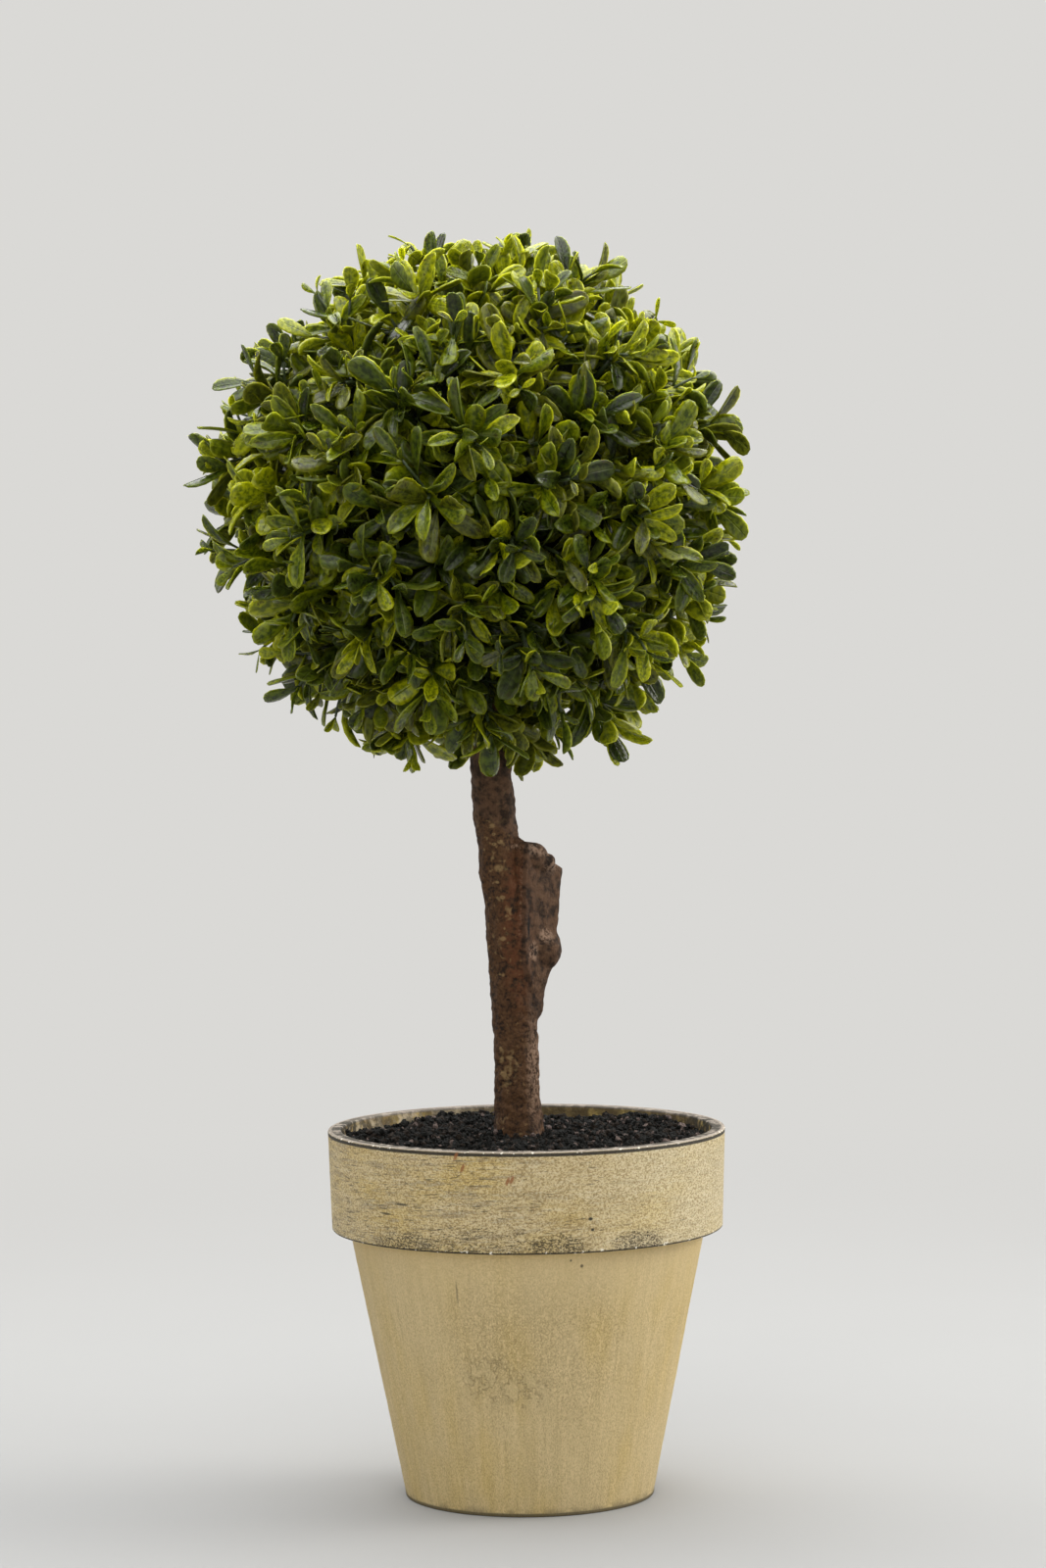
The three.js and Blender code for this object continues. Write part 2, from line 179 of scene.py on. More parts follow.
@dataclass
class Shape:
    """Faces of three and four corners, with a place on a map for each corner if they have one.

    Args:
        places: the corners, in millimetres.
        quads: four corner numbers a face.
        tris: three corner numbers a face.
        quad_maps: the map's places for the quads' corners.
        tri_maps: the map's places for the triangles' corners.
        quad_slots: each quad's material slot.
        tri_slots: each triangle's material slot.
    """

    places: Array
    quads: Array
    tris: Array
    quad_maps: Array | None = None
    tri_maps: Array | None = None
    quad_slots: Array | None = None
    tri_slots: Array | None = None

    def to_object(self, name: str, materials: Sequence[Material]) -> Object:
        """Makes the Blender object.

        Args:
            name: the piece's name.
            materials: one for each slot.

        Returns:
            The new object, linked to the scene.
        """
        mesh = bpy.data.meshes.new(name)
        quad_count, tri_count = len(self.quads), len(self.tris)
        mesh.vertices.add(len(self.places))
        mesh.vertices.foreach_set("co", (self.places * MM).astype(np.float32).ravel())
        mesh.loops.add(4 * quad_count + 3 * tri_count)
        corners = np.concatenate((self.quads.ravel(), self.tris.ravel())).astype(np.int32)
        mesh.loops.foreach_set("vertex_index", corners)
        mesh.polygons.add(quad_count + tri_count)
        starts = np.concatenate((np.arange(quad_count) * 4, 4 * quad_count + np.arange(tri_count) * 3))
        mesh.polygons.foreach_set("loop_start", starts.astype(np.int32))
        for material in materials:
            mesh.materials.append(material)
        if self.quad_slots is not None:
            slots = np.concatenate((self.quad_slots, self.tri_slots)).astype(np.int32)
            mesh.polygons.foreach_set("material_index", slots)
        if self.quad_maps is not None:
            layer = mesh.uv_layers.new(name=ATLAS_MAP)
            maps = np.concatenate((self.quad_maps.reshape(-1, 2), self.tri_maps.reshape(-1, 2)))
            layer.uv.foreach_set("vector", maps.astype(np.float32).ravel())
        mesh.update(calc_edges=True)
        mesh.validate()
        mesh.polygons.foreach_set("use_smooth", [True] * len(mesh.polygons))
        piece = bpy.data.objects.new(name, mesh)
        bpy.context.scene.collection.objects.link(piece)
        log.info("%s: %d triangles", name, 2 * quad_count + tri_count)
        return piece


def repeated(shape: Shape, places: Array, shifts: Array | None = None) -> Shape:
    """Joins many copies of a shape.

    Args:
        shape: the shape whose faces are repeated.
        places: the corners of each copy, copies first.
        shifts: how far each copy moves on the map.

    Returns:
        One shape.
    """
    copies, corners = places.shape[0], places.shape[1]
    offset = (np.arange(copies) * corners)[:, None, None]
    quads = (shape.quads[None] + offset).reshape(-1, 4)
    tris = (shape.tris[None] + offset).reshape(-1, 3)
    move = np.zeros((copies, 2)) if shifts is None else shifts
    quad_maps = (shape.quad_maps[None] + move[:, None, None]).reshape(-1, 4, 2)
    tri_maps = (shape.tri_maps[None] + move[:, None, None]).reshape(-1, 3, 2)
    quad_slots = np.tile(shape.quad_slots, copies)
    tri_slots = np.tile(shape.tri_slots, copies)
    return Shape(places.reshape(-1, 3), quads, tris, quad_maps, tri_maps, quad_slots, tri_slots)


def joined(shapes: Sequence[Shape]) -> Shape:
    """Joins shapes that all have maps and slots.

    Args:
        shapes: the shapes.

    Returns:
        One shape.
    """
    offsets = np.cumsum([0] + [len(shape.places) for shape in shapes[:-1]])
    quads = np.concatenate([shape.quads + offset for shape, offset in zip(shapes, offsets)])
    tris = np.concatenate([shape.tris + offset for shape, offset in zip(shapes, offsets)])
    parts = ("quad_maps", "tri_maps", "quad_slots", "tri_slots")
    rest = (np.concatenate([getattr(shape, part) for shape in shapes]) for part in parts)
    return Shape(np.concatenate([shape.places for shape in shapes]), quads, tris, *rest)


def rolled(rings: Array, capped: bool = True) -> Shape:
    """Closes rings of points into a skin whose outside faces away from the rings' middle.

    Args:
        rings: ring, point and coordinate, each ring running anticlockwise seen from the last one's side.
        capped: whether a fan closes each end.

    Returns:
        The skin, with no maps and no slots.
    """
    count, sides, _ = rings.shape
    lower = np.arange(count - 1)[:, None] * sides + np.arange(sides)[None]
    after = np.arange(count - 1)[:, None] * sides + (np.arange(sides)[None] + 1) % sides
    quads = np.stack((lower, after, after + sides, lower + sides), axis=-1).reshape(-1, 4)
    places = rings.reshape(-1, 3)
    tris = NO_QUADS[:, :3]
    if capped:
        ends = np.stack((rings[0].mean(axis=0), rings[-1].mean(axis=0)))
        places = np.concatenate((places, ends))
        first, top = count * sides, (count - 1) * sides
        here = np.arange(sides)
        there = (here + 1) % sides
        foot = np.stack((np.full(sides, first), there, here), axis=-1)
        head = np.stack((np.full(sides, first + 1), here + top, there + top), axis=-1)
        tris = np.concatenate((foot, head))
    return Shape(places, quads, tris)


def operator(operation: str, swapped: bool = False) -> Callable[["Signal", "Value"], "Signal"]:
    """Returns the method behind a sign, with its two values swapped or not."""
    if swapped:
        return lambda signal, other: signal.graph.math(operation, other, signal)
    return lambda signal, other: signal.graph.math(operation, signal, other)


@dataclass(frozen=True)
class Signal:
    """What a shader node gives out. The usual signs work on it, and add math nodes to its graph."""

    graph: "Graph"
    socket: Socket

    __add__ = operator("ADD")
    __radd__ = operator("ADD", swapped=True)
    __sub__ = operator("SUBTRACT")
    __rsub__ = operator("SUBTRACT", swapped=True)
    __mul__ = operator("MULTIPLY")
    __rmul__ = operator("MULTIPLY", swapped=True)
    __truediv__ = operator("DIVIDE")

    def __abs__(self) -> "Signal":
        """Returns the value without its sign."""
        return self.graph.math("ABSOLUTE", self)

    def rise(self, low: float, high: float) -> "Signal":
        """Returns 0 below low, 1 above high and a smooth rise between. It falls where low is above high."""
        inputs = {"Value": self, "From Min": min(low, high), "From Max": max(low, high)}
        inputs |= {"To Min": float(low > high), "To Max": float(low <= high)}
        return self.graph.make("ShaderNodeMapRange", inputs, "Result", interpolation_type="SMOOTHSTEP")

    def span(self, low: float, high: float) -> "Signal":
        """Returns a 0 to 1 value stretched between two bounds."""
        return self.graph.make("ShaderNodeMapRange", {"Value": self, "To Min": low, "To Max": high}, "Result")

    def over(self, level: "Value", gain: float) -> "Signal":
        """Returns how far the value is over a level, times a gain and kept within 0 and 1."""
        return self.graph.math("MULTIPLY", self - level, gain, clamp=True)


Value = Signal | float | Sequence[float]
Inputs = dict[int | str, Value]


class Graph:
    """A shader tree that is being built, with a short call for each node that it takes."""

    def __init__(self, tree: NodeTree) -> None:
        """Starts on a tree."""
        self.tree = tree

    def put(self, socket: Socket, value: Value) -> None:
        """Links a socket to a signal, or gives it a plain value."""
        if isinstance(value, Signal):
            self.tree.links.new(value.socket, socket)
        else:
            socket.default_value = value

    def node(self, kind: str, inputs: Inputs, **settings: object) -> bpy.types.Node:
        """Adds a node.

        Args:
            kind: its type.
            inputs: what its inputs take, by name or number.
            settings: its own settings.

        Returns:
            The node.
        """
        made = self.tree.nodes.new(kind)
        for name, value in settings.items():
            setattr(made, name, value)
        for name, value in inputs.items():
            self.put(made.inputs[name], value)
        return made

    def make(self, kind: str, inputs: Inputs, output: int | str = 0, **settings: object) -> Signal:
        """Adds a node and returns one of its outputs."""
        return Signal(self, self.node(kind, inputs, **settings).outputs[output])

    def math(self, operation: str, first: Value, second: Value = 0.0, clamp: bool = False) -> Signal:
        """Returns the outcome of a sum on two numbers."""
        return self.make("ShaderNodeMath", {0: first, 1: second}, operation=operation, use_clamp=clamp)

    def vector(
        self, operation: str, first: Value, second: Value = (0.0, 0.0, 0.0), output: int | str = 0
    ) -> Signal:
        """Returns the outcome of a sum on two vectors."""
        return self.make("ShaderNodeVectorMath", {0: first, 1: second}, output, operation=operation)

    def length(self, vector: Value) -> Signal:
        """Returns a vector's length."""
        return self.vector("LENGTH", vector, output="Value")

    def parts(self, vector: Value) -> list[Signal]:
        """Returns a vector's three parts."""
        return [Signal(self, part) for part in self.node("ShaderNodeSeparateXYZ", {0: vector}).outputs]

    def whole(self, x: Value, y: Value, z: Value = 0.0) -> Signal:
        """Returns a vector from its three parts."""
        return self.make("ShaderNodeCombineXYZ", {0: x, 1: y, 2: z})

    def noise(self, vector: Value, scale: Value, detail: float = 2.0, roughness: Value = 0.5) -> Signal:
        """Returns a cloudy value between 0 and 1."""
        inputs = {"Vector": vector, "Scale": scale, "Detail": detail, "Roughness": roughness}
        return self.make("ShaderNodeTexNoise", inputs, "Fac")

    def cells(self, vector: Value, scale: Value) -> Signal:
        """Returns how far each place is from the nearest of many scattered points."""
        return self.make("ShaderNodeTexVoronoi", {"Vector": vector, "Scale": scale}, "Distance")

    def most(self, *values: Signal) -> Signal:
        """Returns the greatest of several numbers."""
        return reduce(lambda first, second: self.math("MAXIMUM", first, second), values)

    def mix(self, share: Value, first: Value, second: Value) -> Signal:
        """Returns a colour between two others. A tuple of whole numbers is a colour seen on a screen."""
        first, second = (linear(value) if isinstance(value, tuple) else value for value in (first, second))
        return self.make("ShaderNodeMix", {0: share, 6: first, 7: second}, 2, data_type="RGBA")

    def layers(self, base: Value, *coats: tuple[Signal, Value]) -> Value:
        """Returns a colour with coats laid over it in turn, each with the mask of where it covers."""
        return reduce(lambda below, coat: self.mix(coat[0], below, coat[1]), coats, base)

    def spot(self, place: Value, centre: Sequence[float], radii: Sequence[float]) -> Signal:
        """Returns 1 round a centre, and less from there out to 0 at the radii along X, Y and Z."""
        away = self.vector("DIVIDE", self.vector("SUBTRACT", place, centre), radii)
        return self.length(away).rise(1.0, 0.4)

    def group(self, tree: NodeTree, **values: Value) -> dict[str, Signal]:
        """Places a shared group and returns its outputs. Underscores in input names stand for spaces."""
        inputs = {name.replace("_", " "): value for name, value in values.items()}
        made = self.node("ShaderNodeGroup", inputs, node_tree=tree)
        return {socket.name: Signal(self, socket) for socket in made.outputs}

    def place(self) -> Signal:
        """Returns the place on the object, in millimetres."""
        seat = self.make("ShaderNodeTexCoord", {}, "Object")
        return self.vector("MULTIPLY", seat, (1 / MM, 1 / MM, 1 / MM))

    def on_map(self) -> Signal:
        """Returns the place on the piece's own map."""
        return self.make("ShaderNodeUVMap", {}, uv_map=ATLAS_MAP)


class Coat(Graph):
    """The tree of a new material, round its shader."""

    def __init__(self, name: str) -> None:
        """Makes an empty material."""
        self.material = bpy.data.materials.new(name)
        self.material.use_nodes = True
        super().__init__(self.material.node_tree)
        self.shader = self.tree.nodes["Principled BSDF"]

    def give(self, **values: Value) -> Material:
        """Gives the shader's inputs their values. Underscores in their names stand for spaces."""
        for name, value in values.items():
            self.put(self.shader.inputs[name.replace("_", " ")], value)
        return self.material

    def finish(
        self, colour: Value, height: Signal, depth: float, dull: float, sleek: float, **others: Value
    ) -> Material:
        """Gives the shader a colour, relief as deep as given, and the hollows' and the heights' roughness."""
        relief = self.make("ShaderNodeBump", {"Height": height, "Distance": depth * MM})
        return self.give(Base_Color=colour, Roughness=height.span(dull, sleek), Normal=relief, **others)


@dataclass
class Effect:
    """A shader node group while it is being built.

    Args:
        name: the group's name.
        inputs: each input's name with its own value, or None for a vector.
        outputs: each output's name.
    """

    name: str
    inputs: dict[str, float | None]
    outputs: Sequence[str]
    graph: Graph = field(init=False)

    def __post_init__(self) -> None:
        """Makes the group's sockets."""
        tree = bpy.data.node_groups.new(self.name, "ShaderNodeTree")
        for name, value in self.inputs.items():
            kind = "NodeSocketVector" if value is None else "NodeSocketFloat"
            made = tree.interface.new_socket(name=name, in_out="INPUT", socket_type=kind)
            if value is not None:
                made.default_value = value
        for name in self.outputs:
            tree.interface.new_socket(name=name, in_out="OUTPUT", socket_type="NodeSocketFloat")
        self.graph = Graph(tree)

    def given(self) -> list[Signal]:
        """Returns the inputs in their order, as the nodes inside read them."""
        inner = self.graph.node("NodeGroupInput", {})
        return [Signal(self.graph, inner.outputs[name]) for name in self.inputs]

    def give(self, **values: Signal) -> NodeTree:
        """Links the outputs and returns the finished group."""
        self.graph.node("NodeGroupOutput", values)
        return self.graph.tree


@dataclass(frozen=True)
class LeafAtlas:
    """How the leaves' printed faces lie on their map: a row of cells for upper sides, then for under sides.

    Args:
        columns: cells in a row.
        rows: rows of cells, half of them for under sides.
        margin: the bare edge of a cell, as a share of it.
    """

    columns: int = 8
    rows: int = 4
    margin: float = 0.06

    def prints(self) -> int:
        """Returns how many different prints there are."""
        return self.columns * self.rows // 2

    def shift(self, number: Array) -> Array:
        """Returns how far prints lie from the first one on the map."""
        return np.stack((number % self.columns / self.columns, number // self.columns / self.rows), axis=-1)

    def spot(self, side: Array, along: Array, under: bool) -> Array:
        """Returns places on the map.

        Args:
            side: across the leaf, -1 to 1.
            along: from the root, 0, to the tip, 1.
            under: whether it is the leaf's under side.

        Returns:
            The places in the first print's cell.
        """
        u = (0.5 + (0.5 - self.margin) * side) / self.columns
        v = (self.margin + (1 - 2 * self.margin) * along) / self.rows + (0.5 if under else 0.0)
        return np.stack(np.broadcast_arrays(u, v), axis=-1)


class Effects:
    """The effects that more than one finish uses, each built once."""

    def __init__(self, atlas: LeafAtlas) -> None:
        """Builds every group."""
        self.patch_group = self.make_patches()
        self.grit = self.make_grit()
        self.grain = self.make_grain()
        self.strokes = self.make_strokes()
        self.leaf_print = self.make_leaf_print(atlas)

    def patches(
        self, graph: Graph, seat: Value, scale: float, level: Value, soft: float = 0.05, ragged: float = 0.55
    ) -> Signal:
        """Returns the mask of irregular patches: a higher scale makes them smaller, a higher level rarer."""
        values = {"Scale": scale, "Level": level, "Softness": soft, "Raggedness": ragged}
        return graph.group(self.patch_group, Vector=seat, **values)["Mask"]

    @staticmethod
    def make_patches() -> NodeTree:
        """Returns the group behind irregular patches."""
        sizes = {"Scale": 1.0, "Level": 0.55, "Softness": 0.05, "Raggedness": 0.55}
        effect = Effect("Patches", {"Vector": None, **sizes}, ("Mask",))
        seat, scale, level, softness, raggedness = effect.given()
        cloud = effect.graph.noise(seat, scale, 5.0, raggedness)
        return effect.give(Mask=effect.graph.math("DIVIDE", cloud - level, softness, clamp=True))

    @staticmethod
    def make_grit() -> NodeTree:
        """Returns fine grit: small rounded grains, as a height."""
        effect = Effect("Grit", {"Vector": None, "Scale": 2.0}, ("Height",))
        place, scale = effect.given()
        seat = effect.graph.make("ShaderNodeVectorMath", {0: place, "Scale": scale}, operation="SCALE")
        return effect.give(Height=effect.graph.cells(seat, 1.0).rise(0.75, 0.1))

    @staticmethod
    def make_grain() -> NodeTree:
        """Returns the stipple of dry paint: a tone that varies from grain to grain, and scattered pits."""
        effect = Effect("Paint grain", {"Vector": None, "Scale": 1.0, "Pit Level": 0.66}, ("Tone", "Pit"))
        seat, scale, pit_level = effect.given()
        graph = effect.graph
        tone = graph.noise(seat, scale, 3.0, 0.75)
        apart = graph.vector("ADD", seat, (31.0, 17.0, 53.0))
        crowd = graph.noise(apart, scale * 0.4, 3.0, 0.7).over(pit_level, 16.0)
        dots = graph.cells(apart, scale * 1.1).rise(0.5, 0.24)
        return effect.give(Tone=tone.rise(0.34, 0.66), Pit=crowd * dots)

    @staticmethod
    def make_strokes() -> NodeTree:
        """Returns dry brush strokes, which run the way that the vector changes least."""
        effect = Effect("Brush strokes", {"Vector": None, "Scale": 1.0}, ("Value",))
        seat, scale = effect.given()
        broad = effect.graph.noise(seat, scale, 3.0)
        fine = effect.graph.noise(seat, scale * 3.7, 2.0)
        return effect.give(Value=broad * 0.6 + fine * 0.4)

    @staticmethod
    def make_leaf_print(atlas: LeafAtlas) -> NodeTree:
        """Returns what a leaf shows, from its cell of the atlas.

        Args:
            atlas: how the cells are laid out.

        Returns:
            A group with the masks of the root, painted sheen, margin, blotches and mottling, and a height.
        """
        outputs = ("Root", "Streak", "Margin", "Blotch", "Mottle", "Height")
        effect = Effect("Leaf print", {"Vector": None, "Blotch Level": 0.6}, outputs)
        seat, blotch_level = effect.given()
        graph = effect.graph
        grid = graph.vector("MULTIPLY", seat, (atlas.columns, atlas.rows, 1.0))
        cell = graph.vector("FLOOR", grid)
        local_x, local_y, _ = graph.parts(graph.vector("FRACTION", grid))
        side = (local_x - 0.5) / (0.5 - atlas.margin)
        across = abs(side)
        along = (local_y - atlas.margin) / (1 - 2 * atlas.margin)
        middle = graph.vector("ADD", cell, (0.5, 0.5, 0.5))
        variant = graph.make("ShaderNodeTexWhiteNoise", {"Vector": middle}, "Value")
        # A cell's own place in the noise: about 6 by 14 millimetres, far from the other cells
        own = graph.whole(side * 3.0 + variant * 900.0, along * 14.0)
        midrib = across.rise(0.12, 0.02)
        ragged = graph.noise(own, 0.3, 4.0, 0.6)
        outer = graph.most(across, along.rise(0.62, 1.08)) + ragged * 0.5 - 0.25
        down = along.rise(0.16, 0.42) * along.rise(0.98, 0.7)
        # Painted sheen: a pale band down the middle of the blade that stands for its gloss
        streak = down * abs(side - 0.12).rise(0.42, 0.02)
        zone = along.rise(0.18, 0.5) * variant.span(0.86, 1.06)
        mottle = graph.noise(own, 0.6, 3.0, 0.6)
        veins = graph.math("SINE", along * 60.0 + across * -9.0)
        return effect.give(
            Root=along.rise(0.5, 0.05),
            Streak=streak * variant.rise(0.2, 0.9),
            Margin=outer.rise(0.3, 1.02),
            Blotch=(ragged * zone).over(blotch_level, 14.0),
            Mottle=mottle,
            Height=mottle * 0.5 + veins * 0.07 - midrib * 0.6,
        )


@dataclass(frozen=True)
class LeafFinish:
    """Printed plastic leaf: one tone with a yellower margin, a painted sheen down the middle, mottling and
    brown blotches.

    Args:
        name: the finish's name.
        tone: the leaf's colour.
        shade: its colour at the root and where the mottling is deepest.
        edge: its margin's colour.
        blotch_level: how rare the blotches are.
        roughness: how dull it is.
        streak: the colour of the painted sheen, a pale band down the middle that stands for gloss.
        blotch: the blotches' colour.
    """

    name: str
    tone: Colour
    shade: Colour
    edge: Colour
    blotch_level: float
    roughness: float
    streak: Colour = (150, 156, 96)
    blotch: Colour = (44, 36, 16)

    def make(self, effects: Effects) -> Material:
        """Makes the material.

        Args:
            effects: the shared groups.

        Returns:
            The material.
        """
        graph = Coat(self.name)
        look = graph.group(effects.leaf_print, Vector=graph.on_map(), Blotch_Level=self.blotch_level)
        colour = graph.layers(
            self.shade,
            (look["Mottle"].rise(0.38, 0.62), self.tone),
            # Painted sheen down the middle of the leaf
            (look["Streak"] * 0.2, self.streak),
            (look["Margin"] * 0.3, self.edge),
            (look["Root"] * 0.8, self.shade),
            (look["Blotch"] * 0.85, self.blotch),
        )
        # Light shines through the thin plastic
        graph.give(Subsurface_Weight=0.75, Subsurface_Radius=(1.0, 1.0, 0.3), Subsurface_Scale=MM)
        graph.give(IOR=1.42, Specular_IOR_Level=0.36)
        return graph.finish(colour, look["Height"], 0.2, self.roughness - 0.06, self.roughness + 0.1)


@dataclass(frozen=True)
class TwigFinish:
    """Green plastic stalk: dull, with darker runs along it."""

    tone: Colour = (56, 72, 26)
    shade: Colour = (34, 40, 18)

    def make(self) -> Material:
        """Returns the material."""
        graph = Coat("Stalk plastic")
        seat = graph.vector("MULTIPLY", graph.on_map(), (6.0, 14.0, 1.0))
        cloud = graph.noise(seat, 1.0, 3.0)
        colour = graph.mix(cloud.rise(0.35, 0.65), self.shade, self.tone)
        return graph.finish(colour, cloud, 0.15, 0.6, 0.4)


@dataclass(frozen=True)
class GritFinish:
    """A plain gritty stuff: the near-black core of the ball, which is painted shade, or the cement that
    weighs the pot down.

    Args:
        name: the finish's name.
        tone: its colour.
        shade: its colour between the grains.
        fineness: how small the grains are.
        depth: how high they stand, in millimetres.
        gloss: how strongly it shines.
    """

    name: str
    tone: Colour
    shade: Colour
    fineness: float
    depth: float
    gloss: float

    def make(self, effects: Effects) -> Material:
        """Returns the material."""
        graph = Coat(self.name)
        grit = graph.group(effects.grit, Vector=graph.place(), Scale=self.fineness)["Height"]
        colour = graph.mix(grit, self.shade, self.tone)
        return graph.finish(colour, grit, self.depth, 0.98, 0.85, Specular_IOR_Level=self.gloss)


@dataclass(frozen=True)
class BarkFinish:
    """Moulded bark: dark brown lumps with tan flecks, a redder stretch and the paler saw cut.

    Args:
        deep: colour in the hollows.
        tone: colour on the lumps.
        worn: colour on their tops, also laid on the stem's upper end as painted light.
        fleck: colour of the scattered flecks.
        red: colour of the redder stretch.
        sawn: colour of the saw cut.
        pale: colour of pale patches on the cut, and of the painted highlights on the stem's edges.
        crack: colour of the slit beside the cut, painted shade.
        dots: the larger flecks, each with its X, its height and its half width.
        pale_and_lit_spots: two pale patches on the cut, then painted highlights on edges; each a centre and a
            reach along X, Y and Z.
    """

    deep: Colour = (31, 19, 9)
    tone: Colour = (80, 54, 31)
    worn: Colour = (99, 73, 47)
    fleck: Colour = (148, 122, 82)
    red: Colour = (92, 48, 24)
    sawn: Colour = (86, 62, 44)
    pale: Colour = (148, 122, 102)
    crack: Colour = (12, 9, 7)
    dots: tuple[Point, ...] = (
        (-7.4, 189.8, 1.9), (-7.0, 197.7, 1.2), (-8.8, 197.0, 1.0), (-9.3, 202.6, 1.2), (-8.9, 200.0, 0.8),
        (-6.5, 181.0, 1.1), (-6.5, 168.6, 1.3), (-7.3, 217.0, 0.9), (-8.0, 185.6, 0.8), (-5.2, 175.4, 0.8),
    )
    pale_and_lit_spots: tuple[tuple[Point, Point], ...] = (
        ((6.8, -1.0, 169.0), (3.2, 5.0, 3.0)),
        ((2.6, -4.0, 164.5), (2.0, 6.0, 4.0)),
        ((-2.2, -6.5, 196.2), (2.4, 6.0, 1.3)),
        ((4.5, 0.0, 195.5), (7.5, 9.0, 4.0)),
        ((9.5, 0.0, 190.5), (4.5, 9.0, 4.5)),
    )

    def make(self, effects: Effects, cuts: Sequence[tuple[Array, Array]]) -> Material:
        """Makes the material.

        Args:
            effects: the shared groups.
            cuts: a point and a unit normal for each saw cut.

        Returns:
            The material.
        """
        graph = Coat("Moulded bark")
        place = graph.place()
        _, _, z = graph.parts(place)
        coarse = graph.noise(place, 0.42, 3.0, 0.6)
        fine = graph.noise(place, 1.2, 3.0, 0.65)
        relief = coarse * 0.5 + fine * 0.5
        red = graph.spot(place, (-1.6, -7.0, 172.0), (7.5, 9.0, 34.0))
        redder = red * coarse.rise(0.34, 0.62) * 0.65
        # Flecks: thickest at the left of the foot, under the ball and down the left side
        thick = (
            graph.spot(place, (-5.6, -7.0, 129.5), (5.5, 9.0, 11.0)) * 1.4
            + graph.spot(place, (-8.0, -7.0, 197.0), (5.5, 9.0, 20.0)) * 0.85
            + graph.spot(place, (-7.5, -6.0, 170.0), (6.0, 9.0, 20.0)) * 0.5
            + z.rise(118.0, 108.0) * 0.5
        )
        flecks = effects.patches(graph, place, 0.6, 0.68 - thick * 0.13, 0.16, 0.25)
        large = graph.most(*(
            graph.spot(place, (x, -6.5, up), (size, 6.0, 0.75 * size)) for x, up, size in self.dots
        ))
        dots = graph.most(flecks, large * fine.rise(0.28, 0.5))
        # Painted highlight: pinkish grey down the right of the lower stem
        pink = graph.spot(place, (3.0, -6.0, 130.0), (3.6, 9.0, 26.0))
        above = [
            graph.vector("DOT_PRODUCT", place, tuple(normal), "Value") - float(np.dot(point, normal))
            for point, normal in cuts
        ]
        cut = graph.most(*(distance.rise(-1.2, -0.5) for distance in above))
        # Painted highlight: a pale line along the crease beside the saw cut, near the branch
        crease = graph.math("SUBTRACT", above[0].rise(-2.4, -1.1), cut, clamp=True)
        by_branch = graph.spot(place, (4.0, -2.0, 178.0), (12.0, 12.0, 26.0))
        mottle = graph.noise(place, 0.26, 3.0, 0.6)
        sawn = graph.mix((mottle + coarse).rise(0.8, 1.16), self.deep, self.sawn)
        both = coarse + fine
        # Pale spots: two pale patches on the cut, and painted highlights on the lit ledge and along the
        # branch's top edge
        bare = graph.most(*(graph.spot(place, centre, radii) for centre, radii in self.pale_and_lit_spots))
        colour = graph.layers(
            self.deep,
            (relief.rise(0.36, 0.56), self.tone),
            (redder, self.red),
            (relief.rise(0.52, 0.68) * 0.5, self.worn),
            # Painted light: the stem's upper end, in the ball's shade, is lightened on its lumps
            (z.rise(196.0, 212.0) * relief.rise(0.4, 0.56) * 0.5, self.worn),
            (pink * relief.rise(0.42, 0.6) * 0.65, self.pale),
            (dots * 0.62, self.fleck),
            (cut * 0.75, sawn),
            (crease * by_branch * both.rise(0.95, 1.25) * 0.4, self.pale),
            (bare * both.rise(0.88, 1.2) * 0.75, self.pale),
            # Painted shade: the slit beside the cut is a near-black line with no depth
            (graph.spot(place, (1.3, -7.0, 171.8), (0.5, 9.0, 4.0)), self.crack),
        )
        return graph.finish(colour, relief, 0.8, 0.95, 0.65, Specular_IOR_Level=0.25)


@dataclass(frozen=True)
class SoilFinish:
    """Black peat granules, some of them browner or with a grey bloom.

    Args:
        name: the finish's name.
        tone: the granules' colour.
        bloom: the colour of their dusty side.
        roughness: how dull they are.
    """

    name: str
    tone: Colour
    bloom: Colour
    roughness: float

    def make(self, effects: Effects) -> Material:
        """Returns the material."""
        graph = Coat(self.name)
        place = graph.place()
        grit = graph.group(effects.grit, Vector=place, Scale=2.4)["Height"]
        colour = graph.mix(effects.patches(graph, place, 0.8, 0.6, 0.1, 0.7), self.tone, self.bloom)
        dull, sleek = self.roughness + 0.15, self.roughness - 0.15
        return graph.finish(colour, grit, 0.3, dull, sleek, Specular_IOR_Level=0.14)


class PotPart(Enum):
    """The parts of the pot that are painted in different ways."""

    BAND = 0
    BODY = 1
    INSIDE = 2


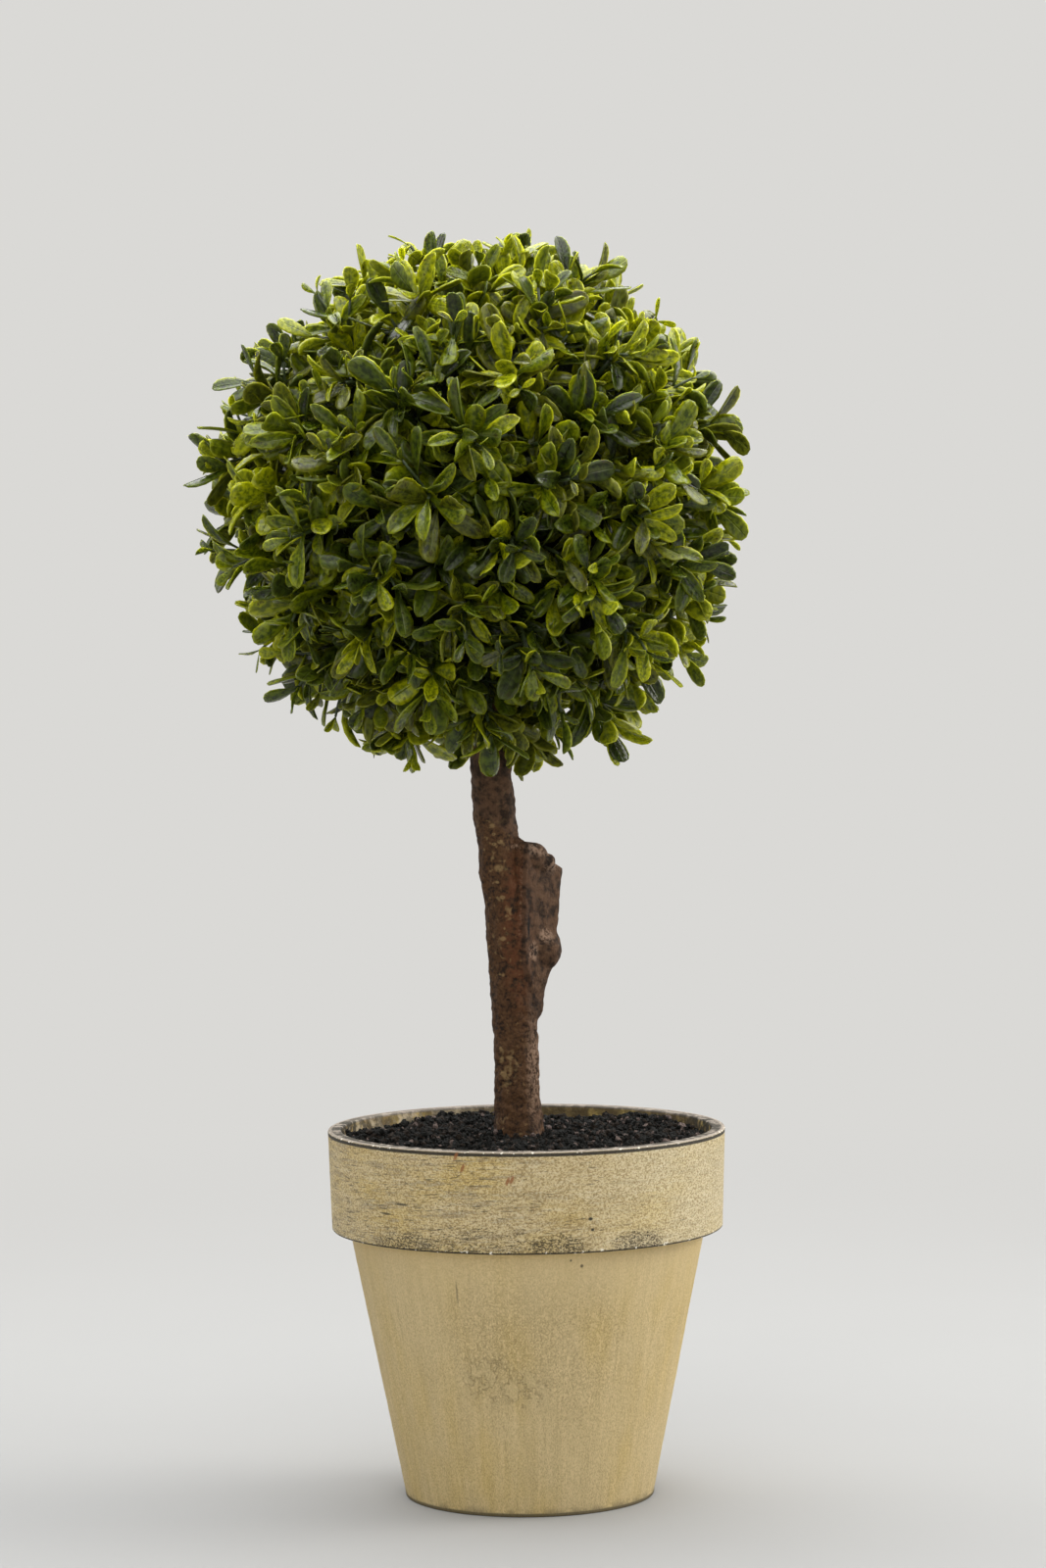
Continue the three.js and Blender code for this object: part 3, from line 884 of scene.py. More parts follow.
@dataclass(frozen=True)
class PaintedClay:
    """Straw paint brushed over a dark ground: along the band, up and down the body.

    Args:
        straw: the paint where it is full.
        ochre: the paint where it is warmer.
        grey: the paint where it is thin.
        dim: its darker grains.
        bright: the band's lighter grains, and the painted light on its right side.
        sand: the body's lighter grains, and the painted light over the body and under the band.
        ground: the dark ground that shows through.
        line: the dark line along the band's edges: dark paint with painted shade under the lip and at the
            band's foot.
        chip: the bare chips on the edges.
        lip: the paint on top of the rim.
        rust: the small marks on the band.
        cream: the splashes on the inside.
        rim_radius: the band's radius at the top, in millimetres.
        pot_height: the pot's height.
        band_foot: the height at which the band starts.
    """

    straw: Colour = (195, 175, 129)
    ochre: Colour = (193, 167, 98)
    grey: Colour = (154, 141, 112)
    dim: Colour = (136, 114, 72)
    bright: Colour = (210, 202, 174)
    sand: Colour = (223, 200, 150)
    ground: Colour = (52, 47, 34)
    line: Colour = (28, 25, 19)
    chip: Colour = (232, 226, 210)
    lip: Colour = (154, 143, 130)
    rust: Colour = (138, 84, 44)
    cream: Colour = (196, 180, 150)
    rim_radius: float = 60.0
    pot_height: float = 111.0
    band_foot: float = 81.0

    def around(self, graph: Graph) -> list[Signal]:
        """Returns X, Y, Z and the whole place on a cylinder as wide as the rim, where patterns run evenly."""
        x, y, z = graph.parts(graph.place())
        round_x, round_y, _ = graph.parts(graph.vector("NORMALIZE", graph.whole(x, y)))
        drawn = [round_x * self.rim_radius, round_y * self.rim_radius, z]
        return [*drawn, graph.whole(*drawn)]

    def front(self, x: float, z: float) -> Point:
        """Returns the place on that cylinder's front, so far to the right of its middle and so high up."""
        return (x, -math.sqrt(self.rim_radius**2 - x**2), z)

    def marks(self, graph: Graph, seat: Value, *places: tuple[float, float, float, float]) -> Signal:
        """Returns the mask of marks on the front, each given by its place there and its half sizes."""
        spots = [graph.spot(seat, self.front(x, z), (wide, 14.0, tall)) for x, z, wide, tall in places]
        return graph.most(*spots)

    @staticmethod
    def paint(graph: Coat, colour: Value, height: Signal, depth: float) -> Material:
        """Returns a dull paint that is duller in its hollows."""
        return graph.finish(colour, height, depth, 0.9, 0.6, Specular_IOR_Level=0.4)

    def band(self, effects: Effects) -> Material:
        """Paints the band: strokes along it that rise a little to the right.

        Args:
            effects: the shared groups.

        Returns:
            The paint.
        """
        graph = Coat("Brushed band")
        x, y, z, seat = self.around(graph)
        slanted = z - x * 0.05
        along = graph.whole(x * 0.09, y * 0.09, slanted)
        strokes = graph.group(effects.strokes, Vector=along, Scale=0.7)["Value"]
        broad = graph.noise(graph.whole(x, y, z * 2.2), 0.03, 3.0)
        left = x.rise(34.0, -24.0)
        # Soot: pits along the band's foot that crowd together in three places
        clusters = ((-36.0, 82.0, 18.0, 6.5), (9.0, 82.5, 14.0, 6.0), (33.0, 83.0, 11.0, 5.5))
        drift = graph.noise(graph.whole(x, y, z * 1.8), 0.2, 4.0, 0.65).rise(0.22, 0.56)
        low = self.marks(graph, seat, (-14.0, 80.0, 48.0, 13.0)) * 0.4
        soot = graph.most(self.marks(graph, seat, *clusters), low) * drift
        near_foot = z.rise(self.band_foot + 6, self.band_foot) * 0.4
        level = 0.675 - (left * 0.28 + soot * 1.1 + near_foot) * 0.24
        flat = graph.whole(x * 0.75, y * 0.75, slanted)
        grain = graph.group(effects.grain, Vector=flat, Scale=1.9, Pit_Level=level)
        smears = ((12.0, 90.8, 9.0, 1.5), (24.0, 97.0, 6.0, 1.0), (-2.0, 94.5, 10.0, 1.6))
        smear = self.marks(graph, seat, *smears)
        dashes = graph.whole(x * 0.2, y * 0.2, slanted * 2.1)
        dash_level = 0.632 - (left + soot + smear) * 0.06
        skipped = effects.patches(graph, dashes, 1.0, dash_level, 0.06, 0.6)
        foot, top = self.band_foot, self.pot_height
        # The dark line under the lip's arris and along the band's foot is dark paint and painted shade
        under_lip_shade_and_paint = z.rise(top - 1.5, top - 1.2) * z.rise(top - 0.25, top - 0.45)
        shade_and_paint_line = graph.most(z.rise(foot + 0.8, foot + 0.3), under_lip_shade_and_paint)
        chips = effects.patches(graph, seat, 0.7, 0.6, 0.04)
        edges = graph.most(z.rise(foot + 1.3, foot + 0.6), z.rise(top - 0.6, top - 0.4))
        leaning = graph.whole(x - z * 0.35, y, z)
        ticks = ((-20.6, 109.6), (-18.7, 106.2), (-5.6, 102.6), (-4.4, 103.0))
        rust = graph.most(*(
            graph.spot(leaning, (at - 0.35 * up, self.front(at, up)[1], up), (0.7, 9.0, 1.7))
            for at, up in ticks
        ))
        holes = self.marks(graph, seat, (18.6, 91.0, 0.9, 0.7), (19.2, 87.8, 0.7, 0.6))
        dash = self.marks(graph, seat, (-37.0, 94.4, 2.8, 0.5), (-42.0, 91.2, 2.2, 0.4))
        colour = graph.layers(
            graph.mix(broad.rise(0.36, 0.62), self.ochre, self.straw),
            # Painted light: the band is paler towards its right side, where the window light falls
            (x.rise(8.0, 52.0) * 0.45, self.bright),
            (strokes.rise(0.5, 0.4) * left.span(0.35, 0.75), self.grey),
            (strokes.rise(0.53, 0.63) * 0.3, self.bright),
            (grain["Tone"].rise(0.58, 0.1) * 0.78, self.dim),
            (grain["Tone"].rise(0.66, 0.98) * 0.4, self.bright),
            (graph.most(smear, soot) * 0.2, self.dim),
            (soot * grain["Tone"].rise(0.55, 0.3) * 0.75, self.ground),
            (skipped * 0.7, self.ground),
            (grain["Pit"] * 0.8, self.ground),
            (shade_and_paint_line * 0.95, self.line),
            (z.rise(top - 0.35, top - 0.2), self.lip),
            (chips * edges, self.chip),
            (rust * 0.85, self.rust),
            (graph.most(holes, dash * 0.8), self.ground),
        )
        pitted = 0.3 + strokes * 0.6 - grain["Pit"] * 0.3
        return self.paint(graph, colour, pitted + grain["Tone"] * 0.15, 0.35)

    def body(self, effects: Effects) -> Material:
        """Paints the body: strokes up and down, a flaking crust and a dark foot.

        Args:
            effects: the shared groups.

        Returns:
            The paint.
        """
        graph = Coat("Brushed body")
        x, y, z, seat = self.around(graph)
        strokes = graph.group(effects.strokes, Vector=graph.whole(x, y, z * 0.1), Scale=0.42)["Value"]
        broad = graph.noise(graph.whole(x, y, z * 0.5), 0.045, 3.0)
        grain = graph.group(effects.grain, Vector=graph.whole(x, y, z * 0.8), Scale=1.9, Pit_Level=0.64)
        crust_place = self.marks(graph, seat, (-15.0, 43.0, 17.0, 12.0), (-2.0, 39.5, 16.0, 9.0))
        crust = effects.patches(graph, seat, 0.22, 0.49, 0.05, 0.65)
        rough = self.marks(graph, seat, (-10.0, 60.0, 34.0, 38.0), (22.0, 50.0, 32.0, 34.0))
        crinkle = graph.noise(seat, 0.9, 3.0, 0.5)
        off_fold = abs(crinkle - 0.5)
        stipple = rough * off_fold.rise(0.06, 0.0)
        ridges = rough * off_fold.rise(0.05, 0.14)
        flakes = crust * crust_place
        # Painted shade: dark lines along the flakes' edges
        flake_edge_shade = flakes * (1.0 - crust) * 4.0
        grimy = z.rise(3.4, 0.4) * effects.patches(graph, seat, 0.15, 0.4, 0.15) * 0.7
        scratch = self.marks(graph, seat, (-24.4, 68.0, 0.45, 4.6))
        dark = self.marks(graph, seat, (17.9, 76.4, 0.7, 0.7), (14.2, 78.2, 0.5, 0.5))
        colour = graph.layers(
            graph.mix(broad.rise(0.24, 0.62), self.ochre, self.straw),
            # Painted light: a sand coat lightens the body, a little more on the left than on the right
            (x.rise(10.0, 55.0).span(0.2, 0.14), self.sand),
            (strokes.rise(0.5, 0.38) * 0.14, self.dim),
            (strokes.rise(0.5, 0.64) * 0.34, self.sand),
            (grain["Tone"].rise(0.5, 0.05) * 0.36, self.dim),
            (grain["Tone"].rise(0.6, 0.98) * 0.45, self.sand),
            (ridges * 0.4, self.sand),
            (stipple * 0.24, self.dim),
            (flakes * 0.3, self.straw),
            (flake_edge_shade * 0.2, self.dim),
            (grain["Pit"] * 0.3, self.ground),
            # Painted light: the body under the band, in the band's shade, is lightened with sand
            (z.rise(self.band_foot - 26, self.band_foot) * 0.5, self.sand),
            (z.rise(self.band_foot - 3, self.band_foot) * 0.35, self.ochre),
            (graph.most(grimy, z.rise(1.5, 0.8)) * 0.8, self.ground),
            (graph.most(scratch * 0.45, dark * 0.8), self.ground),
        )
        wrinkled = grain["Tone"] * 0.14 + stipple * -0.14
        return self.paint(graph, colour, 0.3 + strokes * 0.2 + wrinkled + flakes * 0.5, 0.6)

    def inside(self, effects: Effects) -> Material:
        """Paints the lip and the inside: grey-pink on top, tan and splashed with cream below.

        Args:
            effects: the shared groups.

        Returns:
            The paint.
        """
        graph = Coat("Lip and inside")
        place = graph.place()
        x, y, z = graph.parts(place)
        # Soil lies on all but the lip's outer edge, less of it at the back
        crumbs = effects.patches(graph, place, 0.4, 0.4, 0.1)
        inner = graph.length(graph.whole(x, y)).rise(self.rim_radius - 0.9, self.rim_radius - 1.6)
        dirt = inner * crumbs * y.rise(42.0, 12.0).span(0.5, 0.95)
        wear = effects.patches(graph, place, 0.12, 0.48, 0.12)
        splashes = effects.patches(graph, place, 0.09, 0.5, 0.06, 0.65)
        grain = graph.group(effects.grain, Vector=place, Scale=1.2, Pit_Level=0.62)
        colour = graph.layers(
            self.dim,
            (wear, self.ochre),
            (splashes * x.rise(20.0, -30.0) * 0.9, self.cream),
            (z.rise(self.pot_height - 0.9, self.pot_height - 0.3), self.lip),
            (graph.most(dirt, grain["Pit"] * 0.6), self.ground),
        )
        return self.paint(graph, colour, grain["Tone"], 0.15)


@dataclass(frozen=True)
class LeafMould:
    """One of the moulds that the leaves are pressed in. Sizes are shares of the leaf's length.

    Args:
        widest: where along it the greatest width is.
        half_width: half of that width.
        cup: how far the margins rise, as a share of the half width.
        fold: how sharply the blade folds along its midrib.
        bend: how far the tip bends back.
        twist: how far the tip is turned, in radians.
        sway: how far the tip swings sideways.
    """

    widest: float
    half_width: float
    cup: float
    fold: float
    bend: float
    twist: float
    sway: float

    # The loops of points along the leaf, and the points of a loop across it
    LOOPS = (0.0, 0.22, 0.46, 0.68, 0.86, 0.96)
    UPPER = (-1.0, -0.62, 0.0, 0.62, 1.0)
    UNDER = (0.78, 0.0, -0.78)
    STALK_WIDTH = 0.1
    THICKNESS = 0.036

    def outline(self, along: Array) -> Array:
        """Draws the leaf's outline: a narrow stalk that opens to a round, broad tip.

        Args:
            along: from the root, 0, to the tip, 1.

        Returns:
            The half width at each place along it.
        """
        opening = np.clip((along - 0.06) / (self.widest - 0.06), 0, 1)
        widening = self.STALK_WIDTH + (1 - self.STALK_WIDTH) * np.sin(opening * math.pi / 2) ** 1.45
        closing = np.clip((along - self.widest) / (1 - self.widest), 0, 1)
        return self.half_width * np.where(along < self.widest, widening, np.sqrt(1 - closing**2.4))

    def surface(self, side: Array, along: Array, depth: Array) -> Array:
        """Returns places on the leaf.

        Args:
            side: across the leaf, -1 to 1.
            along: from the root, 0, to the tip, 1.
            depth: how far below the upper side.

        Returns:
            Places for a leaf of length 1 that lies along X with its upper side up.
        """
        half = self.outline(along)
        y = side * half
        blade = smooth(along, 0.1, 0.4)
        z = half * blade * (self.cup * side**2 + self.fold * np.abs(side)) - depth
        angle = self.twist * along
        turned_y = y * np.cos(angle) - z * np.sin(angle) + self.sway * along**2
        turned_z = y * np.sin(angle) + z * np.cos(angle) - self.bend * along**2
        length = along * (1 - 0.4 * self.bend**2)
        return np.stack(np.broadcast_arrays(length, turned_y, turned_z), axis=-1)

    def shape(self, atlas: LeafAtlas) -> Shape:
        """Makes the leaf, length 1.

        Args:
            atlas: the map with its prints.

        Returns:
            The leaf.
        """
        sides = np.array(self.UPPER + self.UNDER)
        depths = np.array((0,) * len(self.UPPER) + (0.8, 1.0, 0.8)) * self.THICKNESS
        along = np.array(self.LOOPS)
        rings = self.surface(sides[None], along[:, None], depths[None])
        ends = self.surface(np.zeros(2), np.array((-0.01, 1.0)), np.full(2, self.THICKNESS / 2))
        places = np.concatenate((rings.reshape(-1, 3), ends))
        count, points = len(along), len(sides)
        upper_faces = len(self.UPPER) - 1
        quads, tris = [], []
        for i in range(points):
            j = (i + 1) % points
            under = i >= upper_faces
            pair = np.array((sides[i], sides[j]))
            for loop in range(count - 1):
                a, b = loop * points, (loop + 1) * points
                where = along[[loop, loop + 1, loop + 1, loop]]
                spots = atlas.spot(pair[[0, 0, 1, 1]], where, under)
                quads.append(((a + i, b + i, b + j, a + j), spots, int(under)))
            last, middle, end = (count - 1) * points, pair.mean(), along[-1]
            tip = atlas.spot(np.array((pair[0], middle, pair[1])), np.array((end, 1.0, end)), under)
            root = atlas.spot(np.array((middle, *pair)), np.array((-0.02, 0.0, 0.0)), under)
            tris.append(((last + i, count * points + 1, last + j), tip, int(under)))
            tris.append(((count * points, i, j), root, int(under)))
        quads, quad_maps, quad_slots = (np.array(column) for column in zip(*quads))
        tris, tri_maps, tri_slots = (np.array(column) for column in zip(*tris))
        return Shape(places, quads, tris, quad_maps, tri_maps, quad_slots, tri_slots)


@dataclass(frozen=True)
class Leaf:
    """A leaf in its place.

    Args:
        start: where its stalk leaves the twig.
        direction: where it points.
        up: where its upper side faces.
        length: from the stalk's root to the tip.
        tint: the number of its tint.
    """

    start: Array
    direction: Array
    up: Array
    length: float
    tint: int


@dataclass(frozen=True)
class Stalk:
    """A round stalk between two points, thinner at its end."""

    start: Array
    end: Array
    radius: float
    end_radius: float


@dataclass(frozen=True)
class Whorl:
    """A ring of shoots or leaves round a twig.

    Args:
        along: how far up the twig.
        spread: how far they open from it, in radians.
        count: how many there are.
        sunk: how far behind the twig's middle line they start.
    """

    along: float
    spread: float
    count: int
    sunk: float = 0.1


@dataclass(frozen=True)
class SprigRule:
    """How sprigs stand round the ball.

    Args:
        count: how many there are.
        seed: what their draws start from.
        tilt: how far a sprig may lean from straight outward.
        reach_short: how far from the ball's centre the shortest one ends.
        reach_long: the same for the longest.
        end_length: the part of that reach which its end leaf or end shoot takes.
        radii: its twig's radius at the root and at the end.
        leaf_lengths: the least and the greatest length of the leaves straight on it.
    """

    count: int
    seed: int
    tilt: float
    reach_short: float
    reach_long: float
    end_length: float
    radii: Pair
    leaf_lengths: Pair


class Tint(Enum):
    """The tints of leaf, each a piece of its own: its share of the shoots, its tone, shade and edge."""

    BRIGHT = (0.17, (146, 152, 10), (82, 93, 6), (190, 190, 16))
    LIME = (0.22, (107, 119, 9), (53, 66, 4), (156, 160, 12))
    MEADOW = (0.24, (70, 85, 11), (30, 42, 4), (119, 128, 13))
    DEEP = (0.2, (45, 59, 10), (15, 23, 3), (86, 97, 12))
    OLIVE = (0.17, (86, 92, 13), (40, 45, 6), (132, 132, 15))


@dataclass
class Stem:
    """The stem with its lopped side branch, as one piece of bark.

    Args:
        course: the middle line from the foot to the tip, as in the part's source.
        radius: at the foot.
        tip_radius: at the tip.
        flare: how much wider the foot is.
        flare_length: how fast the flare ends, as a share of the length.
        branch_foot: where the branch's middle line starts.
        branch_head: where it would end if it weren't sawn off.
        branch_foot_radius: the branch's radius at its foot.
        branch_radius: its radius above its swelling.
        swell_end: where along it the swelling ends.
        cuts: a point and a normal for each saw cut.
        knots: each knot's centre and radius.
        creases: the height and the thickness of each low ring just under the ball.
        sides: how many faces go round it.
        rings: how many rings of faces.
    """

    course: tuple[Point, ...] = (
        (-2.3, 0, 108.6), (-2.9, -0.2, 135), (-4.6, -0.6, 168), (-8.6, -1.2, 206), (-11.4, -2, 262),
    )
    radius: float = 6.5
    tip_radius: float = 5.7
    flare: float = 1.1
    flare_length: float = 0.05
    branch_foot: Point = (-2.2, 1, 142)
    branch_head: Point = (4.9, 3, 202)
    branch_foot_radius: float = 5.2
    branch_radius: float = 9.1
    swell_end: float = 0.42
    cuts: tuple[tuple[Point, Point], ...] = (
        ((5.9, -0.1, 180), (0.76, -0.65, 0.02)),
        ((9.5, 3, 190.4), (0.57, 0.08, 0.82)),
    )
    knots: tuple[tuple[Point, float], ...] = (
        ((2.6, 0.5, 192.6), 4.4), ((5.2, 3.5, 164.3), 5.8), ((-0.4, 1, 148), 5.3), ((6.7, 1.5, 190.9), 2.7),
    )
    creases: tuple[Pair, ...] = ((219.5, 0.3), (223.0, 0.22))
    sides: int = 140
    rings: int = 340

    def middle(self, share: float) -> Array:
        """Follows the middle line: a centripetal spline through the course's points.

        Args:
            share: how far along, from the foot, 0, to the tip, 1.

        Returns:
            The place there.
        """
        points = [np.array(point, dtype=float) for point in self.course]
        spans = len(points) - 1
        at = min(max(share, 0.0), 1.0) * spans
        index = min(int(at), spans - 1)
        weight = at - index
        before = points[index - 1] if index > 0 else 2 * points[0] - points[1]
        after = points[index + 2] if index + 2 <= spans else 2 * points[-1] - points[-2]
        start, end = points[index], points[index + 1]
        stretches = ((before, start), (start, end), (end, after))
        first, second, third = (max(float(np.linalg.norm(b - a)) ** 0.5, 1e-4) for a, b in stretches)
        slope = (end - start) / second
        leave = ((start - before) / first - (end - before) / (first + second) + slope) * second
        arrive = (slope - (after - start) / (second + third) + (after - end) / third) * second
        square = -3 * start + 3 * end - 2 * leave - arrive
        cube = 2 * start - 2 * end + leave + arrive
        return start + leave * weight + square * weight**2 + cube * weight**3

    def is_clear(self, point: Array, keep_out: float = 1.2) -> bool:
        """Says whether a point is clear of the stem.

        Args:
            point: the point.
            keep_out: the room that the part's source asks for.

        Returns:
            Whether it is.
        """
        foot, tip = self.course[0][2], self.course[-1][2]
        along = (point[2] - foot) / (tip - foot)
        if along > 1:
            return True
        centre = self.middle(max(along, 0.0))
        return math.hypot(point[0] - centre[0], point[1] - centre[1]) > self.radius + keep_out

    def unit_cuts(self) -> list[tuple[Array, Array]]:
        """Returns the saw cuts with their normals made unit vectors."""
        return [(np.array(point, dtype=float), unit(np.array(normal))) for point, normal in self.cuts]

    @staticmethod
    def circle_reach(offset: Array, radius: float, around: Array) -> Array:
        """Returns how far out a level circle ends along each vector, or -1 where it isn't met.

        Args:
            offset: from where the vectors start to the circle's middle.
            radius: the circle's radius.
            around: unit vectors.

        Returns:
            A distance for each vector.
        """
        ahead = around[:, :2] @ offset[:2]
        room = ahead**2 - offset[:2] @ offset[:2] + radius**2
        return np.where(room > 0, ahead + np.sqrt(np.maximum(room, 0)), -1.0)

    @staticmethod
    def blended(first: Array, second: Array, softness: float) -> Array:
        """Returns the greater of two reaches, with the crease between them rounded."""
        rounding = np.maximum(softness - np.abs(first - second), 0) ** 2 / (4 * softness)
        return np.maximum(first, second) + rounding

    def knot_reach(self, centre: Array, around: Array) -> Array:
        """Returns how far the knots reach from the stem's middle line, at one level.

        Args:
            centre: the stem's middle at that level.
            around: unit vectors round it.

        Returns:
            A distance for each vector, or -1.
        """
        reach = np.full(len(around), -1.0)
        for middle, radius in self.knots:
            level = radius**2 - (middle[2] - centre[2]) ** 2
            if level > 0:
                offset = np.array(middle) - centre
                reach = np.maximum(reach, self.circle_reach(offset, math.sqrt(level), around))
        return reach

    def branch_reach(self, centre: Array, around: Array) -> Array:
        """Returns how far the branch reaches from the stem's middle line, at one level.

        Args:
            centre: the stem's middle at that level.
            around: unit vectors round it.

        Returns:
            A distance for each vector, below 0 off the branch.
        """
        foot, head = np.array(self.branch_foot, dtype=float), np.array(self.branch_head, dtype=float)
        share = (centre[2] - foot[2]) / (head[2] - foot[2])
        if share < -0.2 or share > 1:
            return np.full(len(around), -1.0)
        swell = float(smooth(share, 0.0, self.swell_end))
        radius = self.branch_foot_radius + (self.branch_radius - self.branch_foot_radius) * swell
        radius -= 6 * float(smooth(-share, -0.05, 0.2))
        reach = self.circle_reach(foot + (head - foot) * share - centre, radius, around)
        for point, normal in self.unit_cuts():
            gap = float(normal @ (point - centre))
            facing = around @ normal
            beside = np.inf if gap > 0 else -1.0
            limit = np.where(facing > 1e-6, gap / np.maximum(facing, 1e-6), beside)
            reach = np.minimum(reach, limit)
        return reach

    def shape(self) -> Shape:
        """Joins the outlines of stem and branch at each level, with the bark's relief.

        Returns:
            The bark's skin.
        """
        angles, around = circle(self.sides)
        rings = []
        flat = []
        for number in range(self.rings):
            share = number / (self.rings - 1)
            centre = self.middle(share)
            round_stem = self.radius + (self.tip_radius - self.radius) * share**2
            round_stem += self.flare * math.exp(-share / self.flare_length)
            ridges = 0.14 * np.sin(3 * angles + 9 * share) + 0.1 * np.sin(5 * angles - 17 * share)
            for level, height in self.creases:
                ridges += height * np.exp(-(((centre[2] - level + 0.6 * np.sin(angles)) / 0.9) ** 2))
            stem = round_stem + ridges
            branch = self.branch_reach(centre, around)
            reach = self.blended(self.blended(stem, branch, 0.5), self.knot_reach(centre, around), 3.0)
            rings.append(centre + around * reach[:, None])
            flat.append(smooth(branch - stem, 0.3, 1.5))
        places = np.array(rings).reshape(-1, 3)
        outward = np.tile(around, (self.rings, 1))
        calm = 1 - 0.25 * np.array(flat).reshape(-1)
        lumps = 0.45 * cloud_at(places * (1, 1, 0.7), 6.5, 3.1)
        lumps = lumps + 0.42 * cloud_at(places * (1, 1, 0.85), 2.8, 7.7)
        pits = 0.2 * cloud_at(places, 1.25, 12.9)
        places = places + outward * ((lumps + pits + 0.2) * calm)[:, None]
        return rolled(places.reshape(self.rings, self.sides, 3))

    def build(self, effects: Effects) -> None:
        """Makes the piece and dresses it."""
        bark = self.shape().to_object("stem_bark", [BarkFinish().make(effects, self.unit_cuts())])
        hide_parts("trunk", "lopped_branch")
        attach(bark, BODY)


@dataclass
class FoliageBall:
    """The ball: a dark core in painted shade, sprigs on it by the source's rule, and finer shoots with leaves
    on them.

    Args:
        stem: the stem, which leaves keep clear of.
        atlas: the leaves' map.
        centre: the ball's centre.
        core_radius: the core's radius, a little under the solid's.
        root_radius: where the sprigs start.
        space_radius: what no tip passes.
        low: the left, front and lower corner of the box that no leaf passes.
        high: the opposite one.
        stride: how far apart the seeds of two sprigs lie.
        leaf_stride: how far apart the seeds of two leaves of a sprig lie.
        block_length: the length of one of the source's leaves, which stands for a shoot.
        light_pull: how strongly leaves turn to the outside.
        strays: the tips of the few shoots that stick out of the clipped outline.
        stray_length: how long those are.
        stray_seed: what the first one's draws start from.
        main_rule: how the source's sprigs stand.
        infill_rule: how the shorter ones between them stand.
        whorls: the source's rings of leaves, each of which stands for a shoot.
        twig_whorls: the rings of leaves straight on the source's twigs.
        infill_whorls: the same on the shorter sprigs.
        shoot_whorls: the same on a shoot.
        moulds: flatter, hollower, narrower and more twisted leaves.
        shoot_leaves: the least and the greatest length of a shoot's leaves.
        young_leaves: the same for the young ones at its end.
        leaves: the leaves that have grown.
        stalks: the stalks that have grown.
    """

    stem: Stem
    atlas: LeafAtlas
    centre: Point = (-12.6, -2, 299.5)
    core_radius: float = 51.5
    root_radius: float = 50
    space_radius: float = 90
    low: Point = (-100.4, -88, 211.6)
    high: Point = (70.6, 83, 382.7)
    stride: int = 7919
    leaf_stride: int = 131
    block_length: float = 20
    light_pull: float = 0.4
    strays: tuple[Point, ...] = ((-99, -6, 312.5), (-98, -10, 279.5), (-93, 8, 296))
    stray_length: float = 24
    stray_seed: int = 5501
    main_rule: SprigRule = SprigRule(96, 4211, 0.16, 81, 89, 20 * 0.86, (1.0, 0.7), (13, 17))
    infill_rule: SprigRule = SprigRule(210, 90127, 0.35, 70, 84, 14, (0.75, 0.45), (12.5, 16.5))
    whorls: tuple[Whorl, ...] = (Whorl(1, 0.2, 1, 1.5), Whorl(0.78, 0.78, 2), Whorl(0.4, 1.12, 2))
    twig_whorls: tuple[Whorl, ...] = (Whorl(0.62, 0.95, 2), Whorl(0.9, 0.85, 2))
    infill_whorls: tuple[Whorl, ...] = (
        Whorl(1, 0.6, 2), Whorl(0.72, 0.95, 2), Whorl(0.44, 1.1, 2), Whorl(0.15, 1.2, 2),
    )
    shoot_whorls: tuple[Whorl, ...] = (Whorl(1, 0.6, 2), Whorl(0.5, 0.95, 2), Whorl(0.1, 1.1, 2))
    moulds: tuple[LeafMould, ...] = (
        LeafMould(0.7, 0.215, -0.1, 0.2, 0.12, 0.15, 0.02),
        LeafMould(0.66, 0.175, 0.1, 0.3, 0.22, -0.35, -0.05),
        LeafMould(0.72, 0.235, -0.24, 0.12, -0.08, 0.2, 0.06),
        LeafMould(0.62, 0.165, 0.35, 0.16, 0.3, 0.45, 0.08),
        LeafMould(0.68, 0.2, -0.05, 0.3, 0.16, -0.45, -0.08),
        LeafMould(0.72, 0.24, -0.28, -0.08, 0.08, 0.05, -0.02),
        LeafMould(0.64, 0.17, 0.22, 0.26, 0.34, 0.25, 0.04),
        LeafMould(0.71, 0.205, -0.36, -0.08, 0.24, -0.2, 0.06),
    )
    shoot_leaves: Pair = (13.2, 17.2)
    young_leaves: Pair = (6.2, 9.2)
    leaves: list[Leaf] = field(default_factory=list)
    stalks: list[Stalk] = field(default_factory=list)

    def distance(self, point: Array) -> float:
        """Returns how far a point is from the ball's centre."""
        return float(np.linalg.norm(point - np.array(self.centre)))

    def has_room(self, point: Array) -> bool:
        """Says whether a point is inside the ball's space and clear of the stem."""
        return self.distance(point) <= self.space_radius and self.stem.is_clear(point)

    def outward(self, point: Array) -> Array:
        """Returns the direction from the ball's centre to a point."""
        return unit(point - np.array(self.centre))

    def choose_tint(self, dice: Dice, outward: Array) -> int:
        """Chooses a tint, with painted light: yellower ones are likelier at the top, the bottom and the
        right, not in front.

        Args:
            dice: what it is drawn from.
            outward: where it faces from the ball's centre.

        Returns:
            The tint's number.
        """
        x, y, z = outward
        # Painted light: the lean makes tints yellower and brighter at the top and the right, where light
        # falls, and darker in the shaded front
        lean = 0.12 + 0.4 * z + 0.64 * abs(z) + 0.12 * x + 0.15 * x * x - 0.58 * max(-y, 0.0) ** 3
        at = min(max(dice.draw() - lean * dice.draw(), 0.0), 0.999)
        passed = 0.0
        for tint in (Tint.BRIGHT, Tint.LIME, Tint.OLIVE, Tint.MEADOW):
            passed += tint.value[0]
            if at < passed:
                return list(Tint).index(tint)
        return list(Tint).index(Tint.DEEP)

